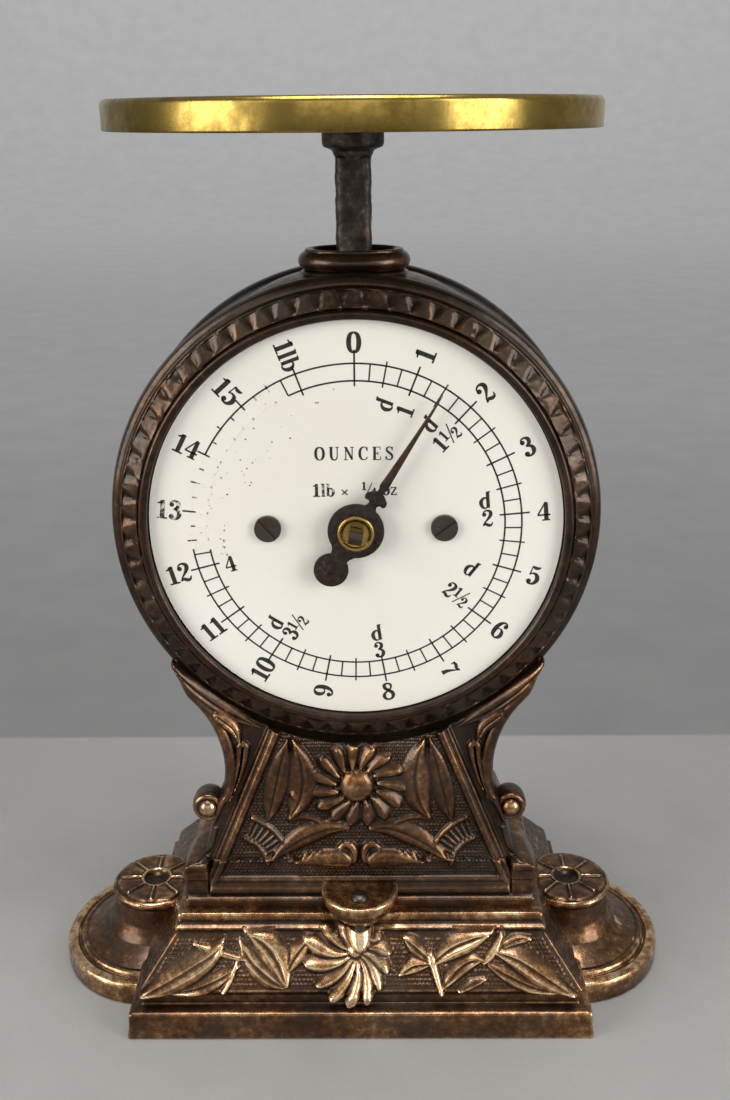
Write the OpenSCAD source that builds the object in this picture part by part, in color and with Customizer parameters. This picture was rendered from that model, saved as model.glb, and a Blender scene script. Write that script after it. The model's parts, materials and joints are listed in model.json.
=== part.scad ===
// Spring letter scale with a round dial, on an ornamental cast base.
// Millimetres. X is across the dial, Y runs away from the reader and Z is up.
// The origin is in the middle of the underside of the base, below the stem.

/* [Base] */
// Half of the width of the square plinth
plinth_half_w = 61.5; // [59:0.5:63]
// Half of the depth of the square plinth
plinth_half_d = 40; // [38:0.5:42]
// Height of the upright edge of the plinth
fascia_h = 8; // [6:0.5:9]
// Distance of each round side lobe from the middle
lobe_x = 60; // [58:0.5:62]
// Radius of the side lobes
lobe_r = 27; // [25:0.5:29]
// Radius of the flower boss on each lobe
boss_r = 12.3; // [11:0.1:13]
// Height of the flower bosses
boss_top = 23.7; // [22:0.1:25]
// Height of the top of the base casting
base_top = 35.5; // [34:0.5:36]

/* [Drum] */
// Height of the middle of the dial
dial_z = 137.9; // [137:0.1:139]
// Radius of the opening in front of the dial
opening_r = 50.9; // [50.7:0.1:51.2]
// Outer radius of the drum wall
drum_r = 59.2; // [58.5:0.1:59.6]
// Largest radius of the rounded front and rear rims
rim_r = 60.6; // [60:0.1:61]
// Front face of the drum
drum_front = -20.4; // [-21:0.1:-20.2]
// Rear face of the drum
drum_back = 18; // [17.5:0.1:19]
// Thickness of the cast walls
wall = 3.2; // [2.8:0.1:3.4]

/* [Stem and pan] */
// Radius of the brass pan
pan_r = 57.1; // [55:0.1:58]
// Height of the top of the pan
pan_top = 236.2; // [235.5:0.1:237]
// Depth of the turned-down rim of the pan
pan_rim_h = 6.7; // [6:0.1:7]
// Thickness of the pan's sheet
pan_t = 1.2; // [1:0.1:1.4]
// Width across the flats of the stem
stem_w = 8.4; // [8:0.1:9]
// Radius of the hole in the collar that the stem passes through
collar_bore_r = 10; // [9:0.1:10.5]

/* [Movement] */
// Full-load travel of the pan
travel = 14.24; // [14.2:0.01:14.3]
// How far below the empty position the pan stands in the rest pose
rest_offset = 1.33; // [1.3:0.01:1.4]
// Gear module
gear_module = 0.4; // [0.4:0.01:0.4]
// Number of pinion teeth
pinion_teeth = 12; // [12:1:12]
// Clockwise angle of the pointer from the zero mark in the rest pose
pointer_angle = 31.7; // [0:0.1:60]
// Length of the pointer from its pivot to its tip
pointer_len = 39.3; // [36:0.1:40]
// Distance of each spring from the middle
spring_x = 12; // [11.5:0.1:12.5]
// Radius of the coil of a spring, to the middle of its wire
spring_r = 3.4; // [3:0.1:3.5]
// Length of a guide link between its pivots
link_len = 36; // [35:0.5:37]

/* [Hidden] */
$fn = 96;
eps = 0.01;
fit = 0.05;

plate_front = -14.8;
plate_t = 1.5;
plate_back = plate_front + plate_t;
ledge_front = -16.8;
dial_t = 1.2;
dial_back = ledge_front;
dial_front = dial_back - dial_t;
dial_r = opening_r - 0.3;
cavity_r = drum_r - wall;
cover_front = 15.2;

body_half_w = 47.3;
body_half_d = 25;
foot_top = 43.3;
shoulder_x = 50.3;

pitch_r = gear_module * pinion_teeth / 2;
pitch = PI * gear_module;
mech_y = 2;
rod_x = 20;
top_bar_z = 177;
bar_h = 6;
bottom_bar_z = 100;
crossbar_z = 155.5;
standoff_x = 7;
rack_top = 153.5;
spring_low = bottom_bar_z + bar_h;
link_y = 6.6;
link_t = 1.5;
link_rise = travel / 2 - rest_offset;
link_tip_x = 10;
link_root_x = link_tip_x - link_len;
upper_pin_z = top_bar_z + bar_h / 2;
lower_pin_z = bottom_bar_z + bar_h / 2;
dial_screw_x = 21.6;
pillar_x = -5.6;
pillar_dz = 12;
lug_y = 25.5;
lug_r = 10.3;
lug_top = 38.5;
lug_screw_y = 30;

// ---------- shared shapes ----------

// Extrudes an X-Z outline from y0 to y1
module from_front(y0, y1) {
    translate([0, y1, 0]) rotate([90, 0, 0]) linear_extrude(y1 - y0) children();
}

// Extrudes a Y-Z outline from x0 to x1
module from_side(x0, x1) {
    translate([x0, 0, 0]) rotate([90, 0, 90]) linear_extrude(x1 - x0) children();
}

// A round bar along Y
module bar_y(r, y0, y1, x = 0, z = dial_z) {
    translate([x, y1, z]) rotate([90, 0, 0]) cylinder(r = r, h = y1 - y0);
}

// Turns a radius-Y outline about the dial's axis
module turned_y() {
    translate([0, 0, dial_z]) rotate([-90, 0, 0]) rotate_extrude($fn = 180) children();
}

// A bar of rectangular section between two corners
module block(low, high) {
    translate(low) cube(high - low);
}

// A slotted cheese-head screw along Y with its head facing the reader
module screw_y(x, z, head_y, tip_y, head_r, head_h, shank_r, slot_angle = 0) {
    face = head_y < tip_y ? head_y - head_h : head_y;
    slot_y = head_y < tip_y ? face - eps : face + head_h / 2;
    difference() {
        union() {
            bar_y(head_r, face, face + head_h, x, z);
            bar_y(shank_r, min(head_y, tip_y), max(head_y, tip_y), x, z);
        }
        translate([x, 0, z]) rotate([0, slot_angle, 0])
            translate([-head_r - 1, slot_y, -head_r * 0.11])
                cube([2 * head_r + 2, head_h / 2 + eps, head_r * 0.22]);
    }
}

// Points on an arc about [cx, cz] from angle a to angle b
function arc(cx, cz, r, a, b, steps) =
    [for (i = [0 : steps]) let (t = a + (b - a) * i / steps) [cx + r * cos(t), cz + r * sin(t)]];

// ---------- castings ----------

// Outline in plan of the plinth and its two lobes, drawn in by a margin
module plinth_plan(inset = 0) {
    square([2 * (plinth_half_w - inset), 2 * (plinth_half_d - inset)], center = true);
    for (side = [-1, 1]) translate([side * lobe_x, 0]) circle(r = lobe_r - inset);
}

// A hipped block between two rectangles
module hipped(z0, z1, low, high) {
    intersection() {
        from_front(-low[1], low[1]) polygon([
            [-low[0], z0], [low[0], z0], [high[0], z1], [-high[0], z1]
        ]);
        from_side(-low[0], low[0]) polygon([
            [-low[1], z0], [low[1], z0], [high[1], z1], [-high[1], z1]
        ]);
    }
}

// One round side lobe with its dished top and flower boss
module lobe() {
    rotate_extrude() polygon([
        [0, 0], [lobe_r, 0], [lobe_r, 5.6], [lobe_r - 0.7, 6.6], [lobe_r - 2.4, 6.9],
        [lobe_r - 3, 6.2], [lobe_r - 3.8, 7.2], [lobe_r - 7.5, 8.2], [boss_r + 3.2, 10],
        [boss_r + 1.2, 12.5], [boss_r + 0.3, 15.5], [boss_r - 0.2, boss_top - 3.6],
        [boss_r + 0.2, boss_top - 2.2], [boss_r - 0.1, boss_top - 0.9],
        [boss_r - 1, boss_top], [0, boss_top]
    ]);
}

// The space under a lobe
module lobe_hollow() {
    translate([0, 0, -1]) cylinder(r = lobe_r - 5.2, h = 4.5);
    translate([0, 0, -1]) cylinder(r = boss_r - wall, h = boss_top - 2);
}

// The tapered bracket under one lug of the body casting
module lug_bracket() {
    difference() {
        translate([0, -lug_y, base_top]) rotate([180, 0, 0]) rotate_extrude() polygon([
            [0, 0], [lug_r - 0.4, 0], [lug_r - 0.8, 1.2], [lug_r - 3.8, 5], [lug_r - 8, 8.6], [0, 9]
        ]);
        block([-20, -lug_y + 3, 20], [20, 0, 40]);
    }
}

module base_casting() {
    shoulder = concat([[44, base_top]], arc(22, 15, 35, 35.8, -6, 8), [[44, 11]]);
    color("#4a2f20") difference() {
        union() {
            linear_extrude(5.6) plinth_plan();
            linear_extrude(fascia_h) square([2 * plinth_half_w, 2 * plinth_half_d], center = true);
            hipped(fascia_h, fascia_h + 0.8, [plinth_half_w, plinth_half_d],
                [plinth_half_w - 1, plinth_half_d - 1]);
            hipped(fascia_h, 12.6, [59.6, 38], [59.2, 37.6]);
            hipped(12.4, 26, [59.4, 38.2], [50.4, 28.4]);
            hipped(26, 27, [50.4, 28.4], [49.4, 27.4]);
            hipped(27, 32, [50, 28.4], [48.6, 26.8]);
            hipped(32, base_top, [48.4, 26.4], [48.2, 26.2]);
            for (side = [-1, 1]) translate([side * lobe_x, 0, 0]) lobe();
            for (side = [0, 1]) mirror([side, 0, 0]) from_front(4, 23) polygon(shoulder);
            lug_bracket();
            mirror([0, 1, 0]) lug_bracket();
        }
        translate([0, 0, -1]) linear_extrude(5) plinth_plan(4);
        hipped(3.9, 9, [56, 34.4], [54, 33]);
        hipped(8.9, base_top - wall, [54.5, 33.4], [44.5, 22]);
        for (side = [-1, 1]) translate([side * lobe_x, 0, 0]) lobe_hollow();
        for (side = [-1, 1]) translate([0, side * lug_screw_y, 20]) cylinder(r = 1.5 + fit, h = 20);
    }
}

// Half outline of the pedestal seen from the front, drawn in by a margin
function pedestal_half(inset) = concat(
    [[0, base_top - (inset > 0 ? 1 : 0)], [body_half_w - inset, base_top - (inset > 0 ? 1 : 0)],
     [body_half_w - inset, foot_top - 1.3 - inset / 2], [body_half_w - 1 - inset, foot_top - inset / 2],
     [42 - inset, foot_top - inset / 2 + 0.6], [39.4 - inset, 55], [37 - inset, 63.5]],
    arc(64.7, 70.7, 29.1 + inset, 188, 120, 10),
    [[51.4 - inset * 1.6, 102.8 - inset], [49, 108], [0, 108]]
);

// Outline of the pedestal and its shoulders seen from the side
function pedestal_side(inset) = [
    [-body_half_d + inset, base_top - 2], [-body_half_d + inset, 39.5], [-body_half_d + 1.6 + inset, 41.6],
    [-22.4 + inset, 42], [-18.9 + inset * 1.25, 84], [-17.5 + inset, 112],
    [17.5 - inset, 112], [18.9 - inset * 1.25, 84], [22.4 - inset, 42],
    [body_half_d - 1.6 - inset, 41.6], [body_half_d - inset, 39.5], [body_half_d - inset, base_top - 2]
];

// The pedestal as a solid, drawn in by a margin
module pedestal(inset = 0) {
    intersection() {
        from_front(-body_half_d, body_half_d) {
            polygon(pedestal_half(inset));
            mirror([1, 0]) polygon(pedestal_half(inset));
        }
        from_side(-60, 60) polygon(pedestal_side(inset));
    }
}

// The convex flanks of the pedestal, behind its front face
module flanks() {
    flank = concat([[34, base_top], [shoulder_x, base_top]], arc(20, 34, 30.3, 4, 58, 8), [[34, 60]]);
    for (side = [0, 1]) mirror([side, 0, 0]) from_front(4, 22) polygon(flank);
}

// The scroll ends at the front sides of the pedestal
module scrolls() {
    for (side = [-1, 1]) bar_y(4.2, -20.2, -13, side * 40.4, 59.4, $fn = 48);
}

// The framed panel on the front and back of the pedestal
module panel_frame() {
    for (side = [0, 1]) mirror([0, side, 0]) difference() {
        from_front(-25, -15) difference() {
            polygon([[-42, 37.5], [42, 37.5], [21.4, 84], [-21.4, 84]]);
            polygon([[-36.4, 42], [36.4, 42], [18.8, 85], [-18.8, 85]]);
        }
        from_side(-60, 60) polygon([[-26, 36], [-23.6, 36], [-23.4, 42], [-20.1, 84], [-20, 90], [-26, 90]]);
    }
}

// The half-round lugs that carry the casting screws
module lugs() {
    for (side = [-1, 1]) translate([0, side * lug_y, base_top]) cylinder(r = lug_r, h = lug_top - base_top);
}

// Wall of the drum with its turned front rings and rounded rims
module drum() {
    turned_y() polygon([
        [opening_r, ledge_front], [opening_r, drum_front + 0.4], [opening_r + 0.6, drum_front],
        [52.8, drum_front], [53.2, -19.6], [53.4, -19], [57.6, -17.4], [58, -16.8],
        [59.4, -16.4], [rim_r - 0.3, -15.2], [rim_r, -13.6], [rim_r - 0.3, -12], [drum_r, -10.6],
        [drum_r, 11], [rim_r - 0.4, 12.2], [rim_r, 14], [rim_r - 0.4, 16], [drum_r, drum_back],
        [cavity_r, drum_back], [cavity_r, plate_front], [47, plate_front], [47, ledge_front]
    ]);
}

// Neck and collar on top of the drum
module neck() {
    intersection() {
        rotate_extrude() polygon([
            [0, 184], [34, 184], [29, 189.6], [24, 192.9], [19.4, 195.4], [16, 196.6], [13.2, 197],
            [13.4, 198.4], [13.5, 199.8], [13.2, 201.2], [12, 202], [0, 202]
        ]);
        block([-40, -17, 180], [40, 16.6, 203]);
    }
}

// The four bosses inside the drum that take the rear cover's screws
module cover_bosses() {
    for (a = [45 : 90 : 315]) translate([53 * cos(a), 0, 53 * sin(a)]) difference() {
        bar_y(3.6, 8, cover_front);
        bar_y(1.05, 9, cover_front + 1);
    }
}

module body_casting() {
    color("#4a2f20") difference() {
        union() {
            difference() {
                union() {
                    pedestal();
                    flanks();
                    scrolls();
                    panel_frame();
                    lugs();
                    neck();
                }
                bar_y(drum_r - 1, -40, 40);
            }
            drum();
            cover_bosses();
        }
        intersection() {
            pedestal(wall);
            block([-60, -24, 0], [60, 14.8, 96]);
            union() {
                block([-60, -24, 0], [60, 30, 82]);
                block([-60, plate_front, 0], [60, 30, 100]);
            }
        }
        cylinder_bore();
        for (side = [-1, 1]) translate([0, side * lug_screw_y, 30]) cylinder(r = 1.5 + fit, h = 12);
        for (a = [0 : 90 : 270]) bar_y(1.05, -16, plate_front + 1, 48.9 * cos(a), dial_z + 48.9 * sin(a));
    }
}

// The upright hole through the neck and collar
module cylinder_bore() {
    translate([0, 0, 176]) cylinder(r = collar_bore_r, h = 30);
}

// The screws that hold the body casting down on the base
module casting_screws() {
    color("#2b2624") for (side = [-1, 1]) translate([0, side * lug_screw_y, 0]) {
        translate([0, 0, lug_top]) rotate_extrude($fn = 48)
            polygon([[0, 0], [2.3, 0], [2.1, 0.7], [1.3, 1.25], [0, 1.4]]);
        translate([0, 0, 27.5]) cylinder(r = 1.5, h = lug_top - 27.5 + 0.1, $fn = 48);
    }
}

// ---------- dial and frame ----------

module dial_plate() {
    color("#f2f0e8") difference() {
        bar_y(dial_r, dial_front, dial_back);
        bar_y(2.4, dial_front - 1, dial_back + 1);
        for (side = [-1, 1]) bar_y(1.25, dial_front - 1, dial_back + 1, side * dial_screw_x);
    }
}

module dial_spacers() {
    color("#b08d57") for (side = [-1, 1]) difference() {
        bar_y(3.4, dial_back, plate_front, side * dial_screw_x);
        bar_y(1.25, dial_back - 1, plate_front + 1, side * dial_screw_x);
    }
}

module dial_screws() {
    color("#5b5a57") {
        screw_y(-dial_screw_x, dial_z, dial_front, -12.6, 3.3, 1.1, 1.2, 48);
        screw_y(dial_screw_x, dial_z, dial_front, -12.6, 3.3, 1.1, 1.2, -37);
    }
}

module frame_plate() {
    color("#b08d57") difference() {
        bar_y(50.4, plate_front, plate_back);
        bar_y(2.6, plate_front - 1, plate_back + 1);
        for (side = [-1, 1]) bar_y(1.25, plate_front - 1, plate_back + 1, side * dial_screw_x);
        for (side = [-1, 1]) bar_y(8, plate_front - 1, plate_back + 1, side * 35);
        for (a = [0 : 90 : 270])
            bar_y(1.05, plate_front - 1, plate_back + 1, 48.9 * cos(a), dial_z + 48.9 * sin(a));
    }
}

module frame_screws() {
    color("#5b5a57") for (a = [0 : 90 : 270])
        screw_y(48.9 * cos(a), dial_z + 48.9 * sin(a), plate_back, -15.8, 1.9, 1.2, 1, 30);
}

// A flanged bearing bush for the arbor
module bush(y0, y1, flange_y0, flange_y1) {
    difference() {
        union() {
            bar_y(2.55, y0, y1);
            bar_y(3.8, flange_y0, flange_y1);
        }
        bar_y(1.2 + fit, min(y0, flange_y0) - 1, max(y1, flange_y1) + 1);
    }
}

module front_bush() {
    color("#c9a35c") bush(plate_front, plate_back, plate_back, plate_back + 1.6);
}

module rear_bridge() {
    color("#b08d57") difference() {
        block([-8.4, link_y, dial_z - 16], [3.6, link_y + link_t, dial_z + 16]);
        bar_y(2.6, link_y - 1, link_y + link_t + 1);
        for (side = [-1, 1]) bar_y(1.05, link_y - 1, link_y + link_t + 1, pillar_x, dial_z + side * pillar_dz);
    }
}

module rear_bush() {
    color("#c9a35c") bush(link_y, link_y + link_t, link_y - 1.2, link_y);
}

module bridge_pillars() {
    color("#b08d57") for (side = [-1, 1]) difference() {
        bar_y(1.8, plate_back, link_y, pillar_x, dial_z + side * pillar_dz);
        bar_y(1.02, link_y - 4, link_y + 1, pillar_x, dial_z + side * pillar_dz);
    }
}

module bridge_screws() {
    color("#5b5a57") for (side = [-1, 1])
        screw_y(pillar_x, dial_z + side * pillar_dz, link_y + link_t, link_y - 3, 1.8, 1, 1, 20 * side);
}

// ---------- springs ----------

module spring_crossbar() {
    color("#6d6a66") difference() {
        block([-16.4, 0, crossbar_z], [16.4, 4, crossbar_z + 3.5]);
        for (side = [-1, 1]) bar_y(1.05, -1, 5, side * standoff_x, crossbar_z + 1.75);
    }
}

module crossbar_standoffs() {
    color("#b08d57") for (side = [-1, 1]) difference() {
        bar_y(1.7, plate_back, 0, side * standoff_x, crossbar_z + 1.75);
        bar_y(1.02, -4, 1, side * standoff_x, crossbar_z + 1.75);
    }
}

module crossbar_screws() {
    color("#5b5a57") for (side = [-1, 1])
        screw_y(side * standoff_x, crossbar_z + 1.75, 4, -3, 1.6, 0.9, 1, 35 * side);
}

// A coil of square-drawn wire from the crossbar down to the carriage
module coil_spring(x) {
    turns = 15;
    per_turn = 10;
    half = 0.42;
    rings = turns * per_turn;
    z0 = spring_low + half + 0.05;
    z1 = crossbar_z - half - 0.05;
    points = [for (i = [0 : rings]) let (t = i * 360 / per_turn, z = z0 + (z1 - z0) * i / rings)
        for (c = [[-half, -half], [half, -half], [half, half], [-half, half]])
            [(spring_r + c[0]) * cos(t), (spring_r + c[0]) * sin(t), z + c[1]]];
    sides = [for (i = [0 : rings - 1]) for (k = [0 : 3]) for (f = [
        [i * 4 + k, (i + 1) * 4 + k, (i + 1) * 4 + (k + 1) % 4],
        [i * 4 + k, (i + 1) * 4 + (k + 1) % 4, i * 4 + (k + 1) % 4]
    ]) f];
    color("#8d8f92") translate([x, mech_y, 0])
        polyhedron(points, concat(sides, [[0, 1, 2, 3]],
            [[rings * 4 + 3, rings * 4 + 2, rings * 4 + 1, rings * 4]]));
}

module left_spring() { coil_spring(-spring_x); }
module right_spring() { coil_spring(spring_x); }

// ---------- guide links ----------

// A stud on the frame plate that one guide link turns on
module link_stud(pin_z) {
    color("#8d8f92") {
        bar_y(2.2, plate_back, link_y - 0.2, link_root_x, pin_z - link_rise);
        bar_y(1.25, link_y - 0.3, link_y + link_t + 1.2, link_root_x, pin_z - link_rise);
    }
}

module upper_link_stud() { link_stud(upper_pin_z); }
module lower_link_stud() { link_stud(lower_pin_z); }

// A flat guide link, with a close eye on its stud and a loose eye on the carriage pin
module guide_link(pin_z) {
    root_z = pin_z - link_rise;
    slope = atan2(link_rise, link_len);
    neck = 35;
    outline = concat(
        arc(link_root_x, root_z, 3, slope + neck, slope + 360 - neck, 16),
        arc(link_tip_x, pin_z, 3.8, slope - 180 + neck, slope + 180 - neck, 20)
    );
    color("#9a9b9d") difference() {
        from_front(link_y, link_y + link_t) polygon(outline);
        bar_y(1.25 + fit, link_y - 1, link_y + link_t + 1, link_root_x, root_z);
        bar_y(2.1, link_y - 1, link_y + link_t + 1, link_tip_x, pin_z);
    }
}

module upper_link() { guide_link(upper_pin_z); }
module lower_link() { guide_link(lower_pin_z); }

// A headed pin on the carriage that stands in the loose eye of a link
module link_pin(pin_z) {
    color("#8d8f92") bar_y(1.2, mech_y + 2 - 1.5, link_y + link_t + 1.2, link_tip_x, pin_z);
}

module upper_link_pin() { link_pin(upper_pin_z); }
module lower_link_pin() { link_pin(lower_pin_z); }

// ---------- rear cover ----------

module back_cover() {
    color("#3a2a20") difference() {
        turned_y() polygon([
            [0, cover_front], [cavity_r - 0.3, cover_front], [cavity_r - 0.3, cover_front + 1.1],
            [cavity_r - 1, cover_front + 1.5], [46, cover_front + 1.5], [44, cover_front + 2.3],
            [42, cover_front + 1.5], [0, cover_front + 1.5]
        ]);
        for (a = [45 : 90 : 315])
            bar_y(1.3, cover_front - 1, cover_front + 3, 53 * cos(a), dial_z + 53 * sin(a));
    }
}

module back_cover_screws() {
    color("#5b5a57") for (a = [45 : 90 : 315])
        screw_y(53 * cos(a), dial_z + 53 * sin(a), cover_front + 1.5, 10.5, 2.2, 1, 1, a + 10);
}

// ---------- stem, carriage and pan ----------

module stem() {
    hub_top = pan_top - pan_t - 1.6;
    color("#3b332e") {
        translate([0, 0, top_bar_z + bar_h]) linear_extrude(224.4 - top_bar_z - bar_h) intersection() {
            square(stem_w, center = true);
            circle(r = stem_w * 0.59);
        }
        rotate_extrude() polygon([
            [0, 223.6], [4.4, 223.6], [5, 224.6], [5.8, 225.2], [6.8, 225.5], [7.2, 226.2], [7.2, 229],
            [6.6, 229.6], [6.6, hub_top], [0, hub_top]
        ]);
        translate([0, 0, top_bar_z - 4]) cylinder(r = 2.2, h = bar_h + 5);
    }
}

module stem_nut() {
    color("#6d6a66") translate([0, 0, top_bar_z - 2.6]) difference() {
        cylinder(r = 4.2, h = 2.6, $fn = 6);
        translate([0, 0, -1]) cylinder(r = 2.22, h = 5);
    }
}

// The three-armed support under the pan, hidden by its rim
module pan_spider() {
    under = pan_top - pan_t;
    color("#6d6a66") difference() {
        union() {
            translate([0, 0, under - 1.6]) cylinder(r = 17, h = 1.6);
            for (a = [30, 150, 270]) rotate([0, 0, a]) {
                block([0, -5, under - 1.6], [pan_r - pan_t - 0.8, 5, under]);
                block([pan_r - pan_t - 2.2, -5, under - 5], [pan_r - pan_t - 0.8, 5, under]);
            }
        }
        translate([0, 0, under - 3]) cylinder(r = 2.05, h = 6);
    }
}

// The countersunk screw that holds the spider on the stem
module spider_screw() {
    under = pan_top - pan_t;
    color("#5b5a57") translate([0, 0, under - 1.6]) cylinder(r = 2, h = 1.5);
}

module carriage_top_bar() {
    color("#6d6a66") difference() {
        block([-rod_x - 3, -2.6, top_bar_z], [rod_x + 3, 4.2, top_bar_z + bar_h]);
        translate([0, 0, top_bar_z - 1]) cylinder(r = 2.22, h = bar_h + 2);
        for (side = [-1, 1]) translate([side * rod_x, mech_y, top_bar_z - 1])
            cylinder(r = 1.65, h = bar_h + 2);
        bar_y(1.22, 0, 5, link_tip_x, upper_pin_z);
    }
}

module carriage_rods() {
    color("#8d8f92") for (side = [-1, 1]) translate([side * rod_x, mech_y, bottom_bar_z - 2.4])
        cylinder(r = 1.6, h = top_bar_z - bottom_bar_z + bar_h + 4.8);
}

module rod_nuts() {
    color("#6d6a66") for (side = [-1, 1]) for (z = [bottom_bar_z - 2, top_bar_z + bar_h])
        translate([side * rod_x, mech_y, z]) difference() {
            cylinder(r = 2.8, h = 2, $fn = 6);
            translate([0, 0, -1]) cylinder(r = 1.62, h = 4);
        }
}

module carriage_bottom_bar() {
    color("#6d6a66") difference() {
        block([-rod_x - 3, 0, bottom_bar_z], [rod_x + 3, 4.2, bottom_bar_z + bar_h]);
        for (side = [-1, 1]) translate([side * rod_x, mech_y, bottom_bar_z - 1])
            cylinder(r = 1.65, h = bar_h + 2);
        bar_y(1.22, -1, 5, link_tip_x, lower_pin_z);
        for (z = [1.6, 4.4]) bar_y(0.82, -1, 5, 4.3, bottom_bar_z + z);
    }
}

// The straight rack, with its teeth towards the pinion
module rack() {
    base_x = pitch_r + 0.35;
    back_x = base_x + 2.9;
    tip_x = pitch_r - 0.3;
    first = -4;
    last = 11;
    color("#c9a35c") difference() {
        from_front(-3, 0) {
            polygon([[base_x, bottom_bar_z], [back_x, bottom_bar_z], [back_x, rack_top], [base_x, rack_top]]);
            for (k = [first : last]) {
                z = dial_z + (k + 0.5) * pitch;
                polygon([
                    [base_x + 0.1, z - 0.26], [base_x + 0.1, z + 0.26], [tip_x, z + 0.12], [tip_x, z - 0.12]
                ]);
            }
        }
        for (z = [1.6, 4.4]) bar_y(0.82, -4, 1, 4.3, bottom_bar_z + z);
    }
}

module rack_screws() {
    color("#5b5a57") for (z = [1.6, 4.4])
        screw_y(4.3, bottom_bar_z + z, -3, 3.4, 1.25, 0.8, 0.8, 40);
}

module pan() {
    low = pan_top - pan_rim_h;
    color("#c8a24a") rotate_extrude($fn = 180) polygon([
        [0, pan_top - pan_t], [pan_r - pan_t - 0.4, pan_top - pan_t], [pan_r - pan_t, pan_top - pan_t - 0.6],
        [pan_r - pan_t, low], [pan_r - 0.3, low], [pan_r, low + 0.4], [pan_r, pan_top - 1.4],
        [pan_r - 0.4, pan_top - 0.4], [pan_r - 1.4, pan_top], [0, pan_top]
    ]);
}

// ---------- arbor and pointer ----------

module arbor() {
    color("#8d8f92") {
        bar_y(1.2, -23.2, link_y + link_t + 0.9);
        translate([0, -24.6, dial_z]) rotate([0, 12, 0]) cube([3.2, 3, 3.2], center = true);
        translate([0, -26.1, dial_z]) rotate([0, 12, 0]) intersection() {
            from_front(-0.7, 0.1) polygon([[-1.6, -1.6], [1.6, -1.6], [1.6, 1.6], [-1.6, 1.6]]);
            from_side(-2, 2) polygon([[0.1, -1.6], [0.1, 1.6], [-0.7, 0.2], [-0.7, -0.2]]);
        }
    }
}

module pinion() {
    root_r = pitch_r - 0.35;
    tip_r = pitch_r + 0.3;
    color("#c9a35c") difference() {
        translate([0, 0, dial_z]) from_front(-3.5, 0.5) polygon([
            for (k = [0 : pinion_teeth - 1]) let (a = k * 360 / pinion_teeth)
                for (p = [[root_r, -15], [root_r, -7.5], [tip_r, -2.6], [tip_r, 2.6], [root_r, 7.5]])
                    [p[0] * cos(a + p[1]), p[0] * sin(a + p[1])]
        ]);
        bar_y(1.2 + 0.02, -5, 2);
    }
}

// Right half of the pointer's outline, drawn pointing up, from its tip to its tail
function pointer_half() = concat(
    [[0, pointer_len], [0.45, 28], [1.15, 12.8], [0.8, 11.4], [2.6, 9.3], [2.4, 7.9], [1, 8.3], [1.3, 6.7]],
    arc(0, 0, 6.8, 79, -58, 14),
    [[2.3, -7.2]],
    arc(0, -11.8, 4.2, 50, -90, 12)
);

module pointer() {
    half = pointer_half();
    other = [for (i = [len(half) - 2 : -1 : 1]) [-half[i][0], half[i][1]]];
    color("#2a1d18") difference() {
        translate([0, 0, dial_z]) rotate([0, pointer_angle, 0]) from_front(-21.1, -20.3)
            polygon(concat(half, other));
        bar_y(2.02, -23, -19);
    }
}

module pointer_collet() {
    color("#c8a24a") difference() {
        turned_y() polygon([
            [0, -22.6], [3.4, -22.6], [3.5, -23], [4.2, -23], [4.4, -22.7], [4.4, -21.1], [2, -21.1],
            [2, -18.6], [0, -18.6]
        ]);
        bar_y(1.22, -24, -18);
    }
}

base_casting();
body_casting();
casting_screws();
dial_plate();
dial_spacers();
dial_screws();
frame_plate();
frame_screws();
front_bush();
rear_bridge();
bridge_pillars();
bridge_screws();
rear_bush();
spring_crossbar();
crossbar_standoffs();
crossbar_screws();
left_spring();
right_spring();
upper_link_stud();
lower_link_stud();
upper_link();
lower_link();
back_cover();
back_cover_screws();
stem();
stem_nut();
pan_spider();
spider_screw();
carriage_top_bar();
carriage_rods();
rod_nuts();
carriage_bottom_bar();
rack();
rack_screws();
upper_link_pin();
lower_link_pin();
pan();
arbor();
pinion();
pointer();
pointer_collet();
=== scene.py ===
"""Looks of the spring letter scale: castings in relief, printed enamel dial, brass pan and movement.

Lengths are in millimetres until make() turns them into metres. X is across the dial, Y runs
away from the reader and Z is up, as in the CAD part.
"""
import json
import math

import bmesh
import bpy
import numpy as np
from mathutils import Matrix, Vector


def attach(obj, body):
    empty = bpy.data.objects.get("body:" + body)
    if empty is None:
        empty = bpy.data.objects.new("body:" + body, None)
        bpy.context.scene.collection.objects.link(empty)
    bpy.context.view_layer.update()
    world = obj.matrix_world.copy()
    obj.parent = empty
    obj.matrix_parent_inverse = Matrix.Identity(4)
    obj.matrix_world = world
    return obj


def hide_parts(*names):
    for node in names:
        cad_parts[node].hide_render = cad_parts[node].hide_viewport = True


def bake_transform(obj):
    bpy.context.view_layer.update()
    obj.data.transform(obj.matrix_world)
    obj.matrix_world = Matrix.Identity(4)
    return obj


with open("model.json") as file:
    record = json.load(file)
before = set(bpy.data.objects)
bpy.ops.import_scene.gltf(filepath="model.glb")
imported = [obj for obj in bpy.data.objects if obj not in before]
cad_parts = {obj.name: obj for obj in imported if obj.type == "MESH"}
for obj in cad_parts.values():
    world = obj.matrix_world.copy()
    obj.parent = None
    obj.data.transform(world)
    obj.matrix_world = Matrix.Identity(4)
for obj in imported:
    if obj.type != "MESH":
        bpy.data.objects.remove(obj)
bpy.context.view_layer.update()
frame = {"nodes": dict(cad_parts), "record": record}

MM = 0.001
RANDOM = np.random.default_rng(7)

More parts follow.
